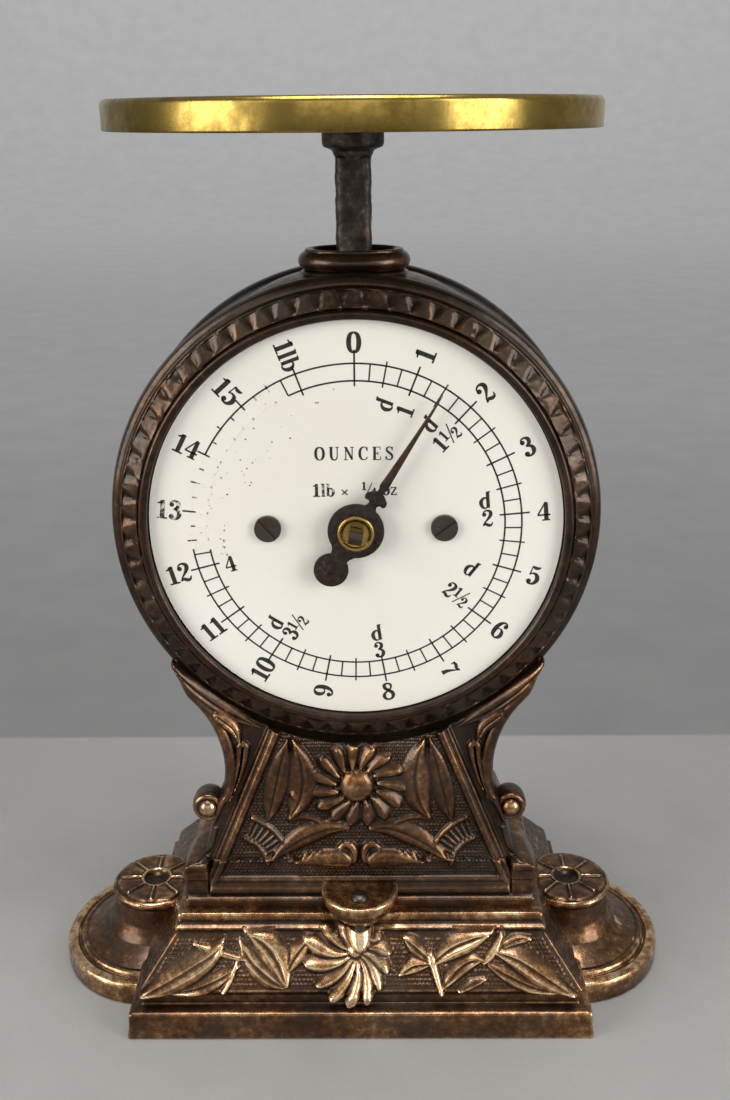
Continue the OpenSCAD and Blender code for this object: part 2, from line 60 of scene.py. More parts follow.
# Castings
DIAL_Z = 137.9
DRUM_R = 59.2
RIM_R = 60.6
DRUM_FRONT = -20.4
DRUM_BACK = 18.0
CAVITY_R = 56.0
PITS = 64
BASE_TOP = 31.2
FOOT_TOP = 44.7
FOOT_HALF_W = 47.3
LOBE_X = 60.0
LOBE_R = 27.0
COLLAR_BORE_R = 10.0
ROD_X = 20.0
MECH_Y = 2.0
SLAB_TOP = 34.6
PANEL_FOOT = 39.9
SEAT_R = 58.7
FRIEZE_LOW = 14.4
FRIEZE_TOP = 25.8
LUG_Y = 25.5

# Dial
DIAL_FRONT = -18.0
RING_IN = 36.4
RING_OUT = 40.5
NUMERAL_R = 45.4
OUNCE_DEG = 21.25
NEEDLE_DEG = 31.7
POINTER_Y = -20.7

# Pan and stem
PAN_R = 57.09
PAN_TOP = 236.2
PAN_RIM_H = 6.7
STEM_HALF = 4.2


# ---------- lines and surfaces ----------

def curve(points, per=6):
    """A smooth line through the points."""
    pts = np.asarray(points, float)
    last = len(pts) - 1
    out = []
    for i in range(last):
        p0, p1, p2, p3 = (pts[min(max(i + k - 1, 0), last)] for k in range(4))
        for k in range(per):
            t = k / per
            out.append(0.5 * (2 * p1 + (p2 - p0) * t + (2 * p0 - 5 * p1 + 4 * p2 - p3) * t ** 2
                              + (3 * p1 - p0 - 3 * p2 + p3) * t ** 3))
    out.append(pts[-1])
    return np.array(out)


def rounded(points, radius, steps=4):
    """The line of points with its corners rounded."""
    pts = np.asarray(points, float)
    out = [pts[0]]
    for before, here, after in zip(pts, pts[1:], pts[2:]):
        la, lb = np.linalg.norm(before - here), np.linalg.norm(after - here)
        cut = min(radius, 0.45 * la, 0.45 * lb)
        p, q = here + (before - here) / la * cut, here + (after - here) / lb * cut
        for t in np.linspace(0, 1, steps + 1):
            out.append((1 - t) ** 2 * p + 2 * t * (1 - t) * here + t * t * q)
    out.append(pts[-1])
    return np.array(out)


def arc(cx, cy, r, a, b, steps):
    """Points on an arc from angle a to angle b, in degrees."""
    t = np.radians(np.linspace(a, b, steps + 1))
    return np.column_stack((cx + r * np.cos(t), cy + r * np.sin(t)))


def lathe(profile, segments, closed=False):
    """A (radius, height) profile turned about an axis. Returns points (u, v, height) and faces."""
    angles = np.linspace(0, 2 * np.pi, segments, endpoint=False)
    verts, faces, rows = [], [], []
    for r, h in profile:
        start = len(verts)
        if r < 1e-6:
            verts.append((0.0, 0.0, h))
            rows.append([start] * segments)
        else:
            verts += [(r * math.cos(a), r * math.sin(a), h) for a in angles]
            rows.append(list(range(start, start + segments)))
    pairs = list(zip(rows[:-1], rows[1:]))
    if closed:
        pairs.append((rows[-1], rows[0]))
    for low, high in pairs:
        for i in range(segments):
            j = (i + 1) % segments
            corners = list(dict.fromkeys((low[i], low[j], high[j], high[i])))
            if len(corners) > 2:
                faces.append(corners)
    return np.array(verts), faces


def along_y(verts, x=0.0, z=DIAL_Z):
    """Lays a turned shape down so that its axis runs along Y."""
    return np.column_stack((verts[:, 0] + x, verts[:, 2], verts[:, 1] + z))


def grid_faces(rows, columns, wrap=False, first=0):
    """Quads of a grid of points, stored row by row."""
    across = columns if wrap else columns - 1
    i, j = np.meshgrid(np.arange(rows - 1), np.arange(across), indexing="ij")
    k = (j + 1) % columns
    quads = np.stack((i * columns + j, i * columns + k, (i + 1) * columns + k, (i + 1) * columns + j), -1)
    return (quads.reshape(-1, 4) + first).tolist()


def tube_faces(rows, columns):
    """The wall of a tube, stored row by row, with a face across each end."""
    last = (rows - 1) * columns
    return grid_faces(rows, columns, wrap=True) + [list(range(columns)), list(range(last, last + columns))]


def ring_faces(rows, columns):
    """The wall of a closed section carried round an axis, stored row by row."""
    last = (rows - 1) * columns
    return grid_faces(rows, columns, wrap=True) + [
        (last + i, last + (i + 1) % columns, (i + 1) % columns, i) for i in range(columns)]


def strip_faces(count, first):
    """Quads across an outline that runs out along one side of a strip and back along the other."""
    return [(first + i, first + i + 1, first + count - 2 - i,
             first + count - 1 - i) for i in range(count // 2 - 1)]


def extruded(outline, y0, y1, bevel=0.0, z=0.0):
    """An X-Z outline carried from y0 to y1, its edges at y0 drawn in by a bevel."""
    out = np.asarray(outline, float)
    count = len(out)
    ahead, behind = np.roll(out, -1, 0) - out, out - np.roll(out, 1, 0)
    ahead /= np.linalg.norm(ahead, axis=1)[:, None] + 1e-9
    behind /= np.linalg.norm(behind, axis=1)[:, None] + 1e-9
    mean = ahead + behind
    mean /= np.linalg.norm(mean, axis=1)[:, None] + 1e-9
    area = np.sum(out[:, 0] * np.roll(out[:, 1], -1) - np.roll(out[:, 0], -1) * out[:, 1])
    inward = np.column_stack((-mean[:, 1], mean[:, 0])) * (1 if area > 0 else -1)
    rows = [(out + inward * bevel, y0), (out + inward * bevel * 0.3, y0 + bevel * 0.3), (out, y0 + bevel),
            (out, y1)] if bevel else [(out, y0), (out, y1)]
    verts = np.concatenate([np.column_stack((p[:, 0], np.full(count, y), p[:, 1] + z)) for p, y in rows])
    return verts, tube_faces(len(rows), count)


class Shape:
    """Closed parts gathered into one mesh, with a value per point for the material."""

    def __init__(self):
        self.verts, self.faces, self.values, self.count = [], [], [], 0

    def add(self, verts, faces, value=0.0):
        self.faces += [[i + self.count for i in f] for f in faces]
        self.verts.append(np.asarray(verts, float))
        self.values.append(np.broadcast_to(np.asarray(value, float), (len(verts),)))
        self.count += len(verts)


def make(name, verts, faces, body, slot, sharp=32, value=None, stands_for=()):
    """Makes a piece of the object from closed shapes in millimetres."""
    mesh = bpy.data.meshes.new(name)
    mesh.from_pydata((np.asarray(verts, float) * MM).tolist(), [], faces)
    work = bmesh.new()
    work.from_mesh(mesh)
    bmesh.ops.recalc_face_normals(work, faces=work.faces)
    work.to_mesh(mesh)
    work.free()
    if value is not None:
        layer = mesh.attributes.new("tone", "FLOAT", "POINT")
        layer.data.foreach_set("value", np.asarray(value, np.float32))
    mesh.shade_smooth()
    mesh.set_sharp_from_angle(angle=math.radians(sharp))
    mesh.materials.append(MATERIALS[slot])
    obj = bpy.data.objects.new(name, mesh)
    bpy.context.scene.collection.objects.link(obj)
    if body:
        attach(obj, body)
    if stands_for:
        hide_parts(*stands_for)
    return obj


def make_shape(name, shape, body, slot, sharp=32, stands_for=()):
    """Makes one piece from everything gathered in a Shape."""
    return make(name, np.concatenate(shape.verts), shape.faces, body, slot, sharp,
                np.concatenate(shape.values), stands_for)


def bored(obj, radius, low, high, x=0.0, y=0.0):
    """Cuts an upright round hole through a piece."""
    verts, faces = lathe([(0, low), (radius, low), (radius, high), (0, high)], 64)
    mesh = bpy.data.meshes.new("cutter")
    mesh.from_pydata(((verts + (x, y, 0)) * MM).tolist(), [], faces)
    cutter = bpy.data.objects.new("cutter", mesh)
    bpy.context.scene.collection.objects.link(cutter)
    cut = obj.modifiers.new("bore", "BOOLEAN")
    cut.operation = "DIFFERENCE"
    cut.solver = "EXACT"
    cut.object = cutter
    bpy.context.view_layer.update()
    result = bpy.data.meshes.new_from_object(obj.evaluated_get(bpy.context.evaluated_depsgraph_get()))
    obj.modifiers.clear()
    obj.data = result
    bpy.data.objects.remove(cutter)


# ---------- relief ----------

class Relief:
    """Raised work over a grid of points: level is how far it stands out at each point."""

    def __init__(self, x, z, level):
        self.x, self.z, self.level = x, z, np.array(level, float)

    def _near(self, points, reach):
        low, high = points.min(0) - reach, points.max(0) + reach
        return (self.x > low[0]) & (self.x < high[0]) & (self.z > low[1]) & (self.z < high[1])

    def _raise(self, where, level):
        self.level[where] = np.maximum(self.level[where], level)

    def stroke(self, points, widths, height, ground, crease=0.0, fold=0.0, power=0.5):
        """A tapering ridge along a line. crease cuts a vein along it and fold lowers one side."""
        table = curve(np.column_stack((points, widths)), 6)
        line, width = table[:, :2], np.maximum(table[:, 2], 0.02)
        where = self._near(line, width.max() + 0.2)
        x, z = self.x[where], self.z[where]
        best, side, along = np.full(x.shape, 9.0), np.zeros(x.shape), np.zeros(x.shape)
        for k in range(len(line) - 1):
            dx, dz = line[k + 1] - line[k]
            size = dx * dx + dz * dz + 1e-9
            t = np.clip(((x - line[k, 0]) * dx + (z - line[k, 1]) * dz) / size, 0, 1)
            px, pz = x - line[k, 0] - t * dx, z - line[k, 1] - t * dz
            q = np.hypot(px, pz) / (width[k] + (width[k + 1] - width[k]) * t)
            closer = q < best
            best[closer] = q[closer]
            side[closer] = np.sign(dx * pz - dz * px)[closer]
            along[closer] = ((k + t) / (len(line) - 1))[closer]
        inside = np.clip(1 - best ** 2, 0, 1)
        h = height * inside ** power
        h *= 1 - fold * np.clip(side * best, 0, 1)
        h -= crease * np.exp(-(best / 0.16) ** 2) * np.clip(4 * (1 - along), 0, 1) * (best < 1)
        self._raise(where, np.where(best < 1, ground(x, z) + h, -1e9))

    def dome(self, cx, cz, radius, height, ground, power=0.5):
        """A round knob."""
        where = self._near(np.array([[cx, cz]]), radius)
        x, z = self.x[where], self.z[where]
        q = np.hypot(x - cx, z - cz) / radius
        h = height * np.clip(1 - q ** 2, 0, 1) ** power
        self._raise(where, np.where(q < 1, ground(x, z) + h, -1e9))


def pebbled(x, z, pitch, height):
    """Small round grains in staggered rows."""
    row = np.round(z / (pitch * 0.87))
    shifted = x + (row % 2) * pitch / 2
    dx = (shifted - np.round(shifted / pitch) * pitch) / (pitch / 2)
    dz = (z - row * pitch * 0.87) / (pitch / 2)
    return height * np.clip(1 - dx ** 2 - dz ** 2, 0, 1) ** 0.7


def soft_step(value, low, high):
    """0 below low, 1 above high, with an easy turn between."""
    t = np.clip((value - low) / (high - low), 0, 1)
    return t * t * (3 - 2 * t)


# ---------- materials ----------

class Nodes:
    """A small helper that builds one node material."""

    def __init__(self, name):
        self.material = bpy.data.materials.new(name)
        self.material.use_nodes = True
        self.tree = self.material.node_tree
        self.surface = self.tree.nodes["Principled BSDF"]
        self.position = self.tree.nodes.new("ShaderNodeTexCoord").outputs["Object"]

    def set(self, **values):
        for key, value in values.items():
            self.surface.inputs[key.replace("_", " ")].default_value = value
        return self

    def noise(self, scale, detail=4.0, rough=0.55, stretch=None):
        node = self.tree.nodes.new("ShaderNodeTexNoise")
        node.inputs["Scale"].default_value = scale
        node.inputs["Detail"].default_value = detail
        node.inputs["Roughness"].default_value = rough
        self.tree.links.new(self._stretched(stretch), node.inputs["Vector"])
        return node.outputs["Fac"]

    def cells(self, scale):
        node = self.tree.nodes.new("ShaderNodeTexVoronoi")
        node.inputs["Scale"].default_value = scale
        self.tree.links.new(self.position, node.inputs["Vector"])
        return node.outputs["Distance"]

    def along(self, axis):
        """The position along X, Y or Z, in metres."""
        node = self.tree.nodes.new("ShaderNodeSeparateXYZ")
        self.tree.links.new(self.position, node.inputs["Vector"])
        return node.outputs[axis]

    def distance(self, point):
        """How far away a point is, in metres."""
        node = self.tree.nodes.new("ShaderNodeVectorMath")
        node.operation = "DISTANCE"
        node.inputs[1].default_value = point
        self.tree.links.new(self.position, node.inputs[0])
        return node.outputs["Value"]

    def _stretched(self, stretch):
        if stretch is None:
            return self.position
        node = self.tree.nodes.new("ShaderNodeMapping")
        node.inputs["Scale"].default_value = stretch
        self.tree.links.new(self.position, node.inputs["Vector"])
        return node.outputs["Vector"]

    def tone(self):
        """The wear value that make() stores at each point."""
        node = self.tree.nodes.new("ShaderNodeAttribute")
        node.attribute_name = "tone"
        return node.outputs["Fac"]

    def edges(self, high=0.57):
        """White on convex edges and black in the hollows, from the mesh's pointiness. The bronze takes it as
        rubbed wear with a painted highlight on the edges and painted shade in the hollows; bare metal takes
        it as tarnish in the hollows.
        """
        node = self.tree.nodes.new("ShaderNodeNewGeometry")
        return self.ramp(node.outputs["Pointiness"], [(0.47, 0.0), (0.5, 0.45), (high, 1.0)])

    def ramp(self, source, stops):
        node = self.tree.nodes.new("ShaderNodeValToRGB")
        band = node.color_ramp
        while len(band.elements) < len(stops):
            band.elements.new(0.5)
        for element, (at, value) in zip(band.elements, stops):
            element.position = at
            element.color = (*value, 1) if isinstance(value, tuple) else (value, value, value, 1)
        self.tree.links.new(source, node.inputs["Fac"])
        return node.outputs["Color"]

    def mix(self, factor, a, b):
        node = self.tree.nodes.new("ShaderNodeMix")
        node.data_type = "RGBA"
        for socket, value in zip((node.inputs["Factor"], node.inputs[6], node.inputs[7]), (factor, a, b)):
            if isinstance(value, bpy.types.NodeSocket):
                self.tree.links.new(value, socket)
            elif isinstance(value, tuple):
                socket.default_value = (*value, 1)
            else:
                socket.default_value = value
        return node.outputs[2]

    def math(self, kind, a, b=0.0, clamp=False):
        node = self.tree.nodes.new("ShaderNodeMath")
        node.operation = kind
        node.use_clamp = clamp
        for socket, value in zip(node.inputs[:2], (a, b)):
            if isinstance(value, bpy.types.NodeSocket):
                self.tree.links.new(value, socket)
            else:
                socket.default_value = value
        return node.outputs[0]

    def times(self, a, b):
        return self.math("MULTIPLY", a, b)

    def swing(self, source, amount):
        """The source's swing about its middle value, made larger or smaller."""
        return self.times(self.math("SUBTRACT", source, 0.5), amount)

    def bump(self, height, distance, strength=1.0, before=None):
        node = self.tree.nodes.new("ShaderNodeBump")
        node.inputs["Strength"].default_value = strength
        node.inputs["Distance"].default_value = distance * MM
        self.tree.links.new(height, node.inputs["Height"])
        if before is not None:
            self.tree.links.new(before, node.inputs["Normal"])
        return node.outputs["Normal"]

    def link(self, **sources):
        for key, source in sources.items():
            self.tree.links.new(source, self.surface.inputs[key.replace("_", " ")])
        return self


def cast_bronze():
    """Dark brown lacquered cast bronze, coppery where it is rubbed, with a painted highlight on convex edges,
    painted shade in the hollows, and greyish patches that are partly dust and partly painted sheen.
    """
    m = Nodes("cast_bronze_lacquer")
    cloud = m.noise(45, 5, 0.6)
    fine = m.noise(1100, 3, 0.7)
    speck = m.noise(420, 4, 0.65)
    # Convex edges are lightened and hollows darkened, scaled by the tone value: rubbed wear with a painted
    # highlight on the edges, and painted shade in the hollows.
    rub_and_highlight = m.math("ADD", m.times(m.tone(), 0.9), 0.22)
    wear_and_light = m.math("ADD", m.times(m.edges(), rub_and_highlight), m.times(m.tone(), 0.45))
    wear_and_light = m.math("ADD", wear_and_light, m.swing(speck, 1.0))
    wear_and_light = m.math("ADD", wear_and_light, m.swing(cloud, 1.0), clamp=True)
    # The ramp runs from near black, the painted shade in the hollows, through brown to bright copper, which
    # is rubbed wear and painted highlight together.
    colour = m.ramp(wear_and_light, [
        (0.0, (0.016, 0.010, 0.006)), (0.30, (0.045, 0.023, 0.012)), (0.52, (0.100, 0.046, 0.020)),
        (0.68, (0.19, 0.090, 0.036)), (0.84, (0.40, 0.225, 0.10)), (1.0, (0.74, 0.52, 0.30))])
    # Greyish patches at random, partly dust and partly a painted sheen standing in for reflections.
    dust_and_sheen = m.ramp(m.noise(70, 4, 0.6), [(0.46, 0.0), (0.70, 0.5)])
    colour = m.mix(dust_and_sheen, colour, (0.085, 0.070, 0.054))
    rough = m.ramp(wear_and_light, [(0.0, 0.42), (0.5, 0.28), (1.0, 0.18)])
    rough = m.mix(m.ramp(fine, [(0.45, 0.0), (0.75, 0.8)]), rough, (0.45, 0.45, 0.45))
    pits = m.bump(fine, 0.05, 0.5)
    bumps = m.bump(speck, 0.16, 0.55, pits)
    m.link(Base_Color=colour, Roughness=rough, Normal=bumps)
    return m.set(Metallic=0.9, Coat_Weight=0.25, Coat_Roughness=0.1, Specular_IOR_Level=0.5).material


def japanned():
    """Dark brown stoved enamel on the back cover."""
    m = Nodes("japanned_cover")
    peel = m.noise(260, 3, 0.5)
    tone = m.ramp(m.noise(50, 5, 0.6), [(0.3, (0.028, 0.018, 0.013)), (0.7, (0.058, 0.036, 0.024))])
    dust = m.ramp(m.noise(900, 2, 0.6), [(0.62, 0.0), (0.8, 0.5)])
    m.link(Base_Color=m.mix(dust, tone, (0.16, 0.13, 0.10)), Normal=m.bump(peel, 0.12, 0.35),
           Roughness=m.ramp(peel, [(0.3, 0.26), (0.7, 0.42)]))
    return m.set(Metallic=0.1, Coat_Weight=0.5, Coat_Roughness=0.15).material


def enamel():
    """Glossy cream-white vitreous enamel with faint grime."""
    m = Nodes("enamel_dial")
    wave = m.noise(28, 2, 0.5)
    grime = m.ramp(m.noise(70, 6, 0.65), [(0.55, 0.0), (0.82, 0.4)])
    base = m.ramp(m.noise(18, 3, 0.5), [(0.35, (0.77, 0.745, 0.67)), (0.65, (0.82, 0.80, 0.74))])
    specks = m.ramp(m.cells(330), [(0.03, 0.55), (0.055, 0.0)])
    specks = m.times(specks, m.ramp(m.noise(60, 3, 0.6), [(0.56, 0.0), (0.66, 1.0)]))
    colour = m.mix(m.times(grime, 0.35), base, (0.62, 0.56, 0.47))
    colour = m.mix(specks, colour, (0.22, 0.17, 0.13))
    m.link(Base_Color=colour, Normal=m.bump(wave, 0.25, 0.25),
           Roughness=m.ramp(m.noise(140, 3, 0.6), [(0.3, 0.16), (0.7, 0.26)]))
    return m.set(Coat_Weight=0.6, Coat_Roughness=0.06, Specular_IOR_Level=0.5).material


def dial_ink():
    """Black fired print, thinned to nothing where its tone value is high."""
    m = Nodes("dial_ink")
    flake = m.noise(900, 4, 0.7)
    lost = m.math("SUBTRACT", m.math("ADD", m.tone(), m.swing(flake, 1.1)), 0.5)
    lost = m.math("MULTIPLY", lost, 6.0, clamp=True)
    black = m.ramp(m.noise(500, 3, 0.6), [(0.3, (0.012, 0.011, 0.011)), (0.75, (0.035, 0.031, 0.028))])
    m.link(Base_Color=m.mix(lost, black, (0.80, 0.775, 0.71)), Normal=m.bump(flake, 0.01, 0.3),
           Roughness=m.ramp(flake, [(0.3, 0.24), (0.7, 0.36)]))
    return m.set(Coat_Weight=0.3, Coat_Roughness=0.1).material


def bare_metal(name, dark, light, rough, grain=500, scratch=(1, 1, 1), metallic=1.0, rust=0.0, bump=0.04):
    """Plain metal with machining grain, tarnish and optional rust."""
    m = Nodes(name)
    streak = m.noise(grain, 4, 0.65, scratch)
    cloud = m.noise(90, 5, 0.6)
    dull = m.math("SUBTRACT", 1.0, m.edges(0.56))
    tarnish = m.math("ADD", m.times(cloud, 0.7), m.times(dull, 0.35))
    colour = m.ramp(tarnish, [(0.3, light), (0.8, dark)])
    if rust:
        spots = m.ramp(m.noise(160, 6, 0.7), [(0.60 - rust * 0.12, 0.0), (0.74, 1.0)])
        colour = m.mix(spots, colour, (0.135, 0.058, 0.028))
    roughness = m.ramp(streak, [(0.3, rough * 0.8), (0.75, rough * 1.25)])
    m.link(Base_Color=colour, Roughness=roughness, Normal=m.bump(streak, bump, 0.5))
    return m.set(Metallic=metallic).material


def stem_iron():
    """Rough black iron with brown rust and bright rubbed specks."""
    m = Nodes("stem_iron")
    scale = m.noise(260, 6, 0.7)
    fine = m.noise(900, 4, 0.7)
    colour = m.ramp(scale, [
        (0.30, (0.016, 0.013, 0.011)), (0.48, (0.040, 0.033, 0.028)), (0.60, (0.085, 0.068, 0.058)),
        (0.72, (0.26, 0.22, 0.19))])
    rust = m.ramp(m.noise(120, 6, 0.72), [(0.56, 0.0), (0.7, 0.85)])
    colour = m.mix(rust, colour, (0.115, 0.052, 0.030))
    m.link(Base_Color=colour, Roughness=m.ramp(fine, [(0.3, 0.34), (0.7, 0.6)]),
           Normal=m.bump(fine, 0.12, 0.7, m.bump(scale, 0.30, 0.7)))
    return m.set(Metallic=0.8).material


def pan_brass():
    """Old polished brass with olive and brown tarnish."""
    m = Nodes("pan_brass")
    hair = m.noise(1500, 3, 0.6, (1, 1, 0.12))
    patch = m.noise(38, 6, 0.62)
    fleck = m.noise(420, 5, 0.7)
    tarnish = m.math("ADD", m.times(patch, 0.75), m.times(fleck, 0.25))
    colour = m.ramp(tarnish, [
        (0.32, (0.66, 0.47, 0.14)), (0.45, (0.46, 0.32, 0.08)), (0.56, (0.24, 0.165, 0.04)),
        (0.68, (0.10, 0.066, 0.022))])
    # The lowest 2 mm of the rim are painted darker in flecks: painted shade along the rim's lower edge.
    above = m.math("SUBTRACT", m.along("Z"), (PAN_TOP - PAN_RIM_H - 0.3) * MM)
    foot = m.ramp(m.times(above, 200.0), [(0.0, 0.75), (0.45, 0.0)])
    colour = m.mix(m.times(foot, fleck), colour, (0.10, 0.065, 0.02))
    rough = m.ramp(tarnish, [(0.38, 0.15), (0.72, 0.42)])
    m.link(Base_Color=colour, Roughness=rough, Normal=m.bump(hair, 0.015, 0.35, m.bump(patch, 0.5, 0.12)))
    return m.set(Metallic=1.0).material


def pointer_black():
    """Blackened steel gone brown and pitted."""
    m = Nodes("pointer_blued")
    pit = m.noise(700, 5, 0.7)
    colour = m.ramp(pit, [
        (0.32, (0.010, 0.008, 0.007)), (0.55, (0.030, 0.020, 0.016)), (0.70, (0.095, 0.052, 0.034))])
    far = m.distance((0, POINTER_Y * MM, DIAL_Z * MM))
    needle = m.ramp(m.times(far, 20.0), [(0.26, 0.0), (0.36, 0.9)])
    rust = m.times(needle, m.ramp(pit, [(0.3, 0.3), (0.6, 1.0)]))
    colour = m.mix(rust, colour, (0.075, 0.032, 0.020))
    m.link(Base_Color=colour, Roughness=m.ramp(pit, [(0.3, 0.42), (0.7, 0.66)]),
           Normal=m.bump(pit, 0.12, 0.8))
    return m.set(Metallic=0.55).material


MATERIALS = {
    "cast_bronze_lacquer": cast_bronze(),
    "japanned_cover": japanned(),
    "enamel_dial": enamel(),
    "dial_ink": dial_ink(),
    "dark_screw_steel": bare_metal("dark_screw_steel", (0.035, 0.030, 0.027), (0.13, 0.115, 0.10), 0.38, 700,
                                   rust=0.4),
    "movement_brass": bare_metal("movement_brass", (0.30, 0.19, 0.06), (0.62, 0.43, 0.15), 0.3, 600,
                                 (1, 1, 6)),
    "movement_steel": bare_metal("movement_steel", (0.16, 0.155, 0.15), (0.36, 0.355, 0.35), 0.34, 600,
                                 (6, 1, 1)),
    "arbor_steel": bare_metal("arbor_steel", (0.030, 0.024, 0.020), (0.10, 0.08, 0.065), 0.36, 900, rust=0.5),
    "spring_steel": bare_metal("spring_steel", (0.20, 0.20, 0.205), (0.44, 0.445, 0.45), 0.26, 1200),
    "stem_iron": stem_iron(),
    "pan_brass": pan_brass(),
    "collet_brass": bare_metal("collet_brass", (0.24, 0.14, 0.035), (0.72, 0.50, 0.15), 0.27, 700, bump=0.03),
    "pointer_blued": pointer_black(),
}


# ---------- drum ----------

def drum_shell():
    """The turned drum wall, with a ring of triangular pits between its two rounded lips."""
    lip_in = rounded([(47, -14.8), (47, -16.8), (50.9, -16.8), (50.9, -20), (51.5, DRUM_FRONT),
                      (52.5, DRUM_FRONT), (53.0, -19.9), (53.1, -19.0)], 0.45)
    lip_out = rounded([(57.9, -17.3), (58.1, -16.7), (58.7, -16.6), (59.9, -16), (RIM_R, -13.6), (60.2, -12),
                       (DRUM_R, -10.6), (DRUM_R, 11), (60.2, 12.2), (RIM_R, 14), (60.2, 16),
                       (DRUM_R, DRUM_BACK), (CAVITY_R, DRUM_BACK), (CAVITY_R, -14.8)], 0.8)
    pit_apex, pit_base = 53.7, 57.4
    band_r = np.array([53.25, 53.5, 53.7, 54.4, 55.2, 56.0, 56.7, 57.15, 57.4, 57.6])
    band_y = np.interp(band_r, [53.25, 53.5, 57.6], [-19.2, -19.35, -17.8])
    profile = [(r, y, 0) for r, y in lip_in] + list(zip(band_r, band_y, np.ones(len(band_r)))) \
        + [(r, y, 0) for r, y in lip_out]
    per_pit = 8
    verts, tone = [], []
    for r, y, in_band in profile:
        open_share = np.clip((r - pit_apex) / (pit_base - pit_apex), 0.02, 1) * 0.84 if in_band else 0.6
        floor = in_band * 0.62 * soft_step(r, pit_apex - 0.1, 55.4) * (1 - soft_step(r, 57.1, 57.38))
        for k in range(PITS):
            for j, u in enumerate((-1, -0.5 - open_share / 2, -open_share, -0.5 * open_share, 0,
                                   0.5 * open_share, open_share, 0.5 + open_share / 2)):
                a = (k + (u + 1) / 2) * 2 * math.pi / PITS
                dip = floor * (0, 0, 0, 0.62, 1, 0.62, 0, 0)[j]
                grain = 0.05 * RANDOM.standard_normal() if in_band else 0
                verts.append((r * math.sin(a), y + dip + grain, DIAL_Z + r * math.cos(a)))
                tone.append(0.16 + 0.04 * in_band - 0.1 * dip)
    faces = ring_faces(len(profile), PITS * per_pit)
    shell = make("drum_shell", verts, faces, None, "cast_bronze_lacquer", 40, tone)
    bored(shell, COLLAR_BORE_R, 176, 206)
    for side in (-1, 1):
        bored(shell, 3.1, 84.6, 95, side * ROD_X, MECH_Y)
        bored(shell, 2.0, 84.2, 95, side * ROD_X, MECH_Y)
    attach(shell, "case")
    return shell


def neck_collar():
    """The fluid shoulder on top of the drum and the rolled collar round the stem."""
    profile = rounded([(COLLAR_BORE_R, 182), (33, 184), (29.5, 188.6), (24, 192.6), (19.4, 195.0),
                       (15.6, 196.4), (13.2, 196.9), (12.9, 197.4)], 0.8)
    lip = [(11.9, 202.1), (11.8, 202.5), (11.4, 202.7), (10.5, 202.7), (COLLAR_BORE_R, 202.3)]
    collar = np.concatenate((arc(11.3, 199.9, 2.2, -75, 66, 12), lip))
    outline = np.concatenate((profile, collar))
    segments = 96
    a = np.linspace(0, 2 * np.pi, segments, endpoint=False)
    verts = []
    for r, z in outline:
        depth = 0.74 * min(r, 13.2) + 6.6 * (1 - math.exp(-max(r - 13.2, 0) / 4))
        buried = DIAL_Z + np.sqrt((DRUM_R - 2.5) ** 2 - (r * np.cos(a)) ** 2)
        verts += list(zip(r * np.cos(a), depth * np.sin(a), np.maximum(z, buried)))
    faces = ring_faces(len(outline), segments)
    make("neck_collar", verts, faces, "case", "cast_bronze_lacquer", 40, np.full(len(verts), 0.22))


# ---------- pedestal ----------

PEDESTAL_OUTLINE = np.concatenate((
    [(FOOT_HALF_W, BASE_TOP), (FOOT_HALF_W, 43.0), (46.9, 44.1), (45.8, FOOT_TOP), (42.3, 45.2), (41.7, 46.4),
     (39.4, 55), (37, 63.5)],
    arc(64.7, 70.7, 29.1, 188, 133, 12),
    [(46.4, 95.4), (47.4, 98.2), (48.0, 100), (47.9, 101.4), (47.0, 103), (46.2, 106), (45.5, 110)]))


def pedestal_half_width(z):
    """Half the pedestal's width at a height."""
    return np.interp(z, PEDESTAL_OUTLINE[:, 1], PEDESTAL_OUTLINE[:, 0])


def panel_plane(x, z):
    """How far the recessed ground of the framed panel stands from the middle."""
    return 22.0 - (z - 42) / 12


def strip_plane(x, z):
    """How far the bare strips beside the frame stand from the middle."""
    return panel_plane(x, z) - 0.2


def seat_plane(x, z):
    """The level under the long leaves that run up beside the drum."""
    return np.full_like(x, 16.6)


def sunflower(relief):
    """The swirling flower in the middle of the panel."""
    cx, cz = -0.5, 66.8
    petals = 15
    for k in range(petals):
        a = math.radians(k * 360 / petals + 8)
        low = 0.5 - 0.5 * math.sin(a)
        reach = 12.6 - 1.7 * abs(math.sin(a))
        spread = 1.25 + 0.15 * low
        line = []
        for t in (0.46, 0.60, 0.77, 0.92, 1.0):
            turn = a - 0.34 * (t - 0.46)
            line.append((cx + reach * t * math.cos(turn), cz + reach * t * math.sin(turn)))
        relief.stroke(line, [0.8, 1.1 * spread, 1.45 * spread, 1.5 * spread, 1.1 * spread], 1.7, panel_plane,
                      fold=0.5, power=0.55)
    relief.dome(cx, cz, 4.7, 3.0, panel_plane, 0.42)


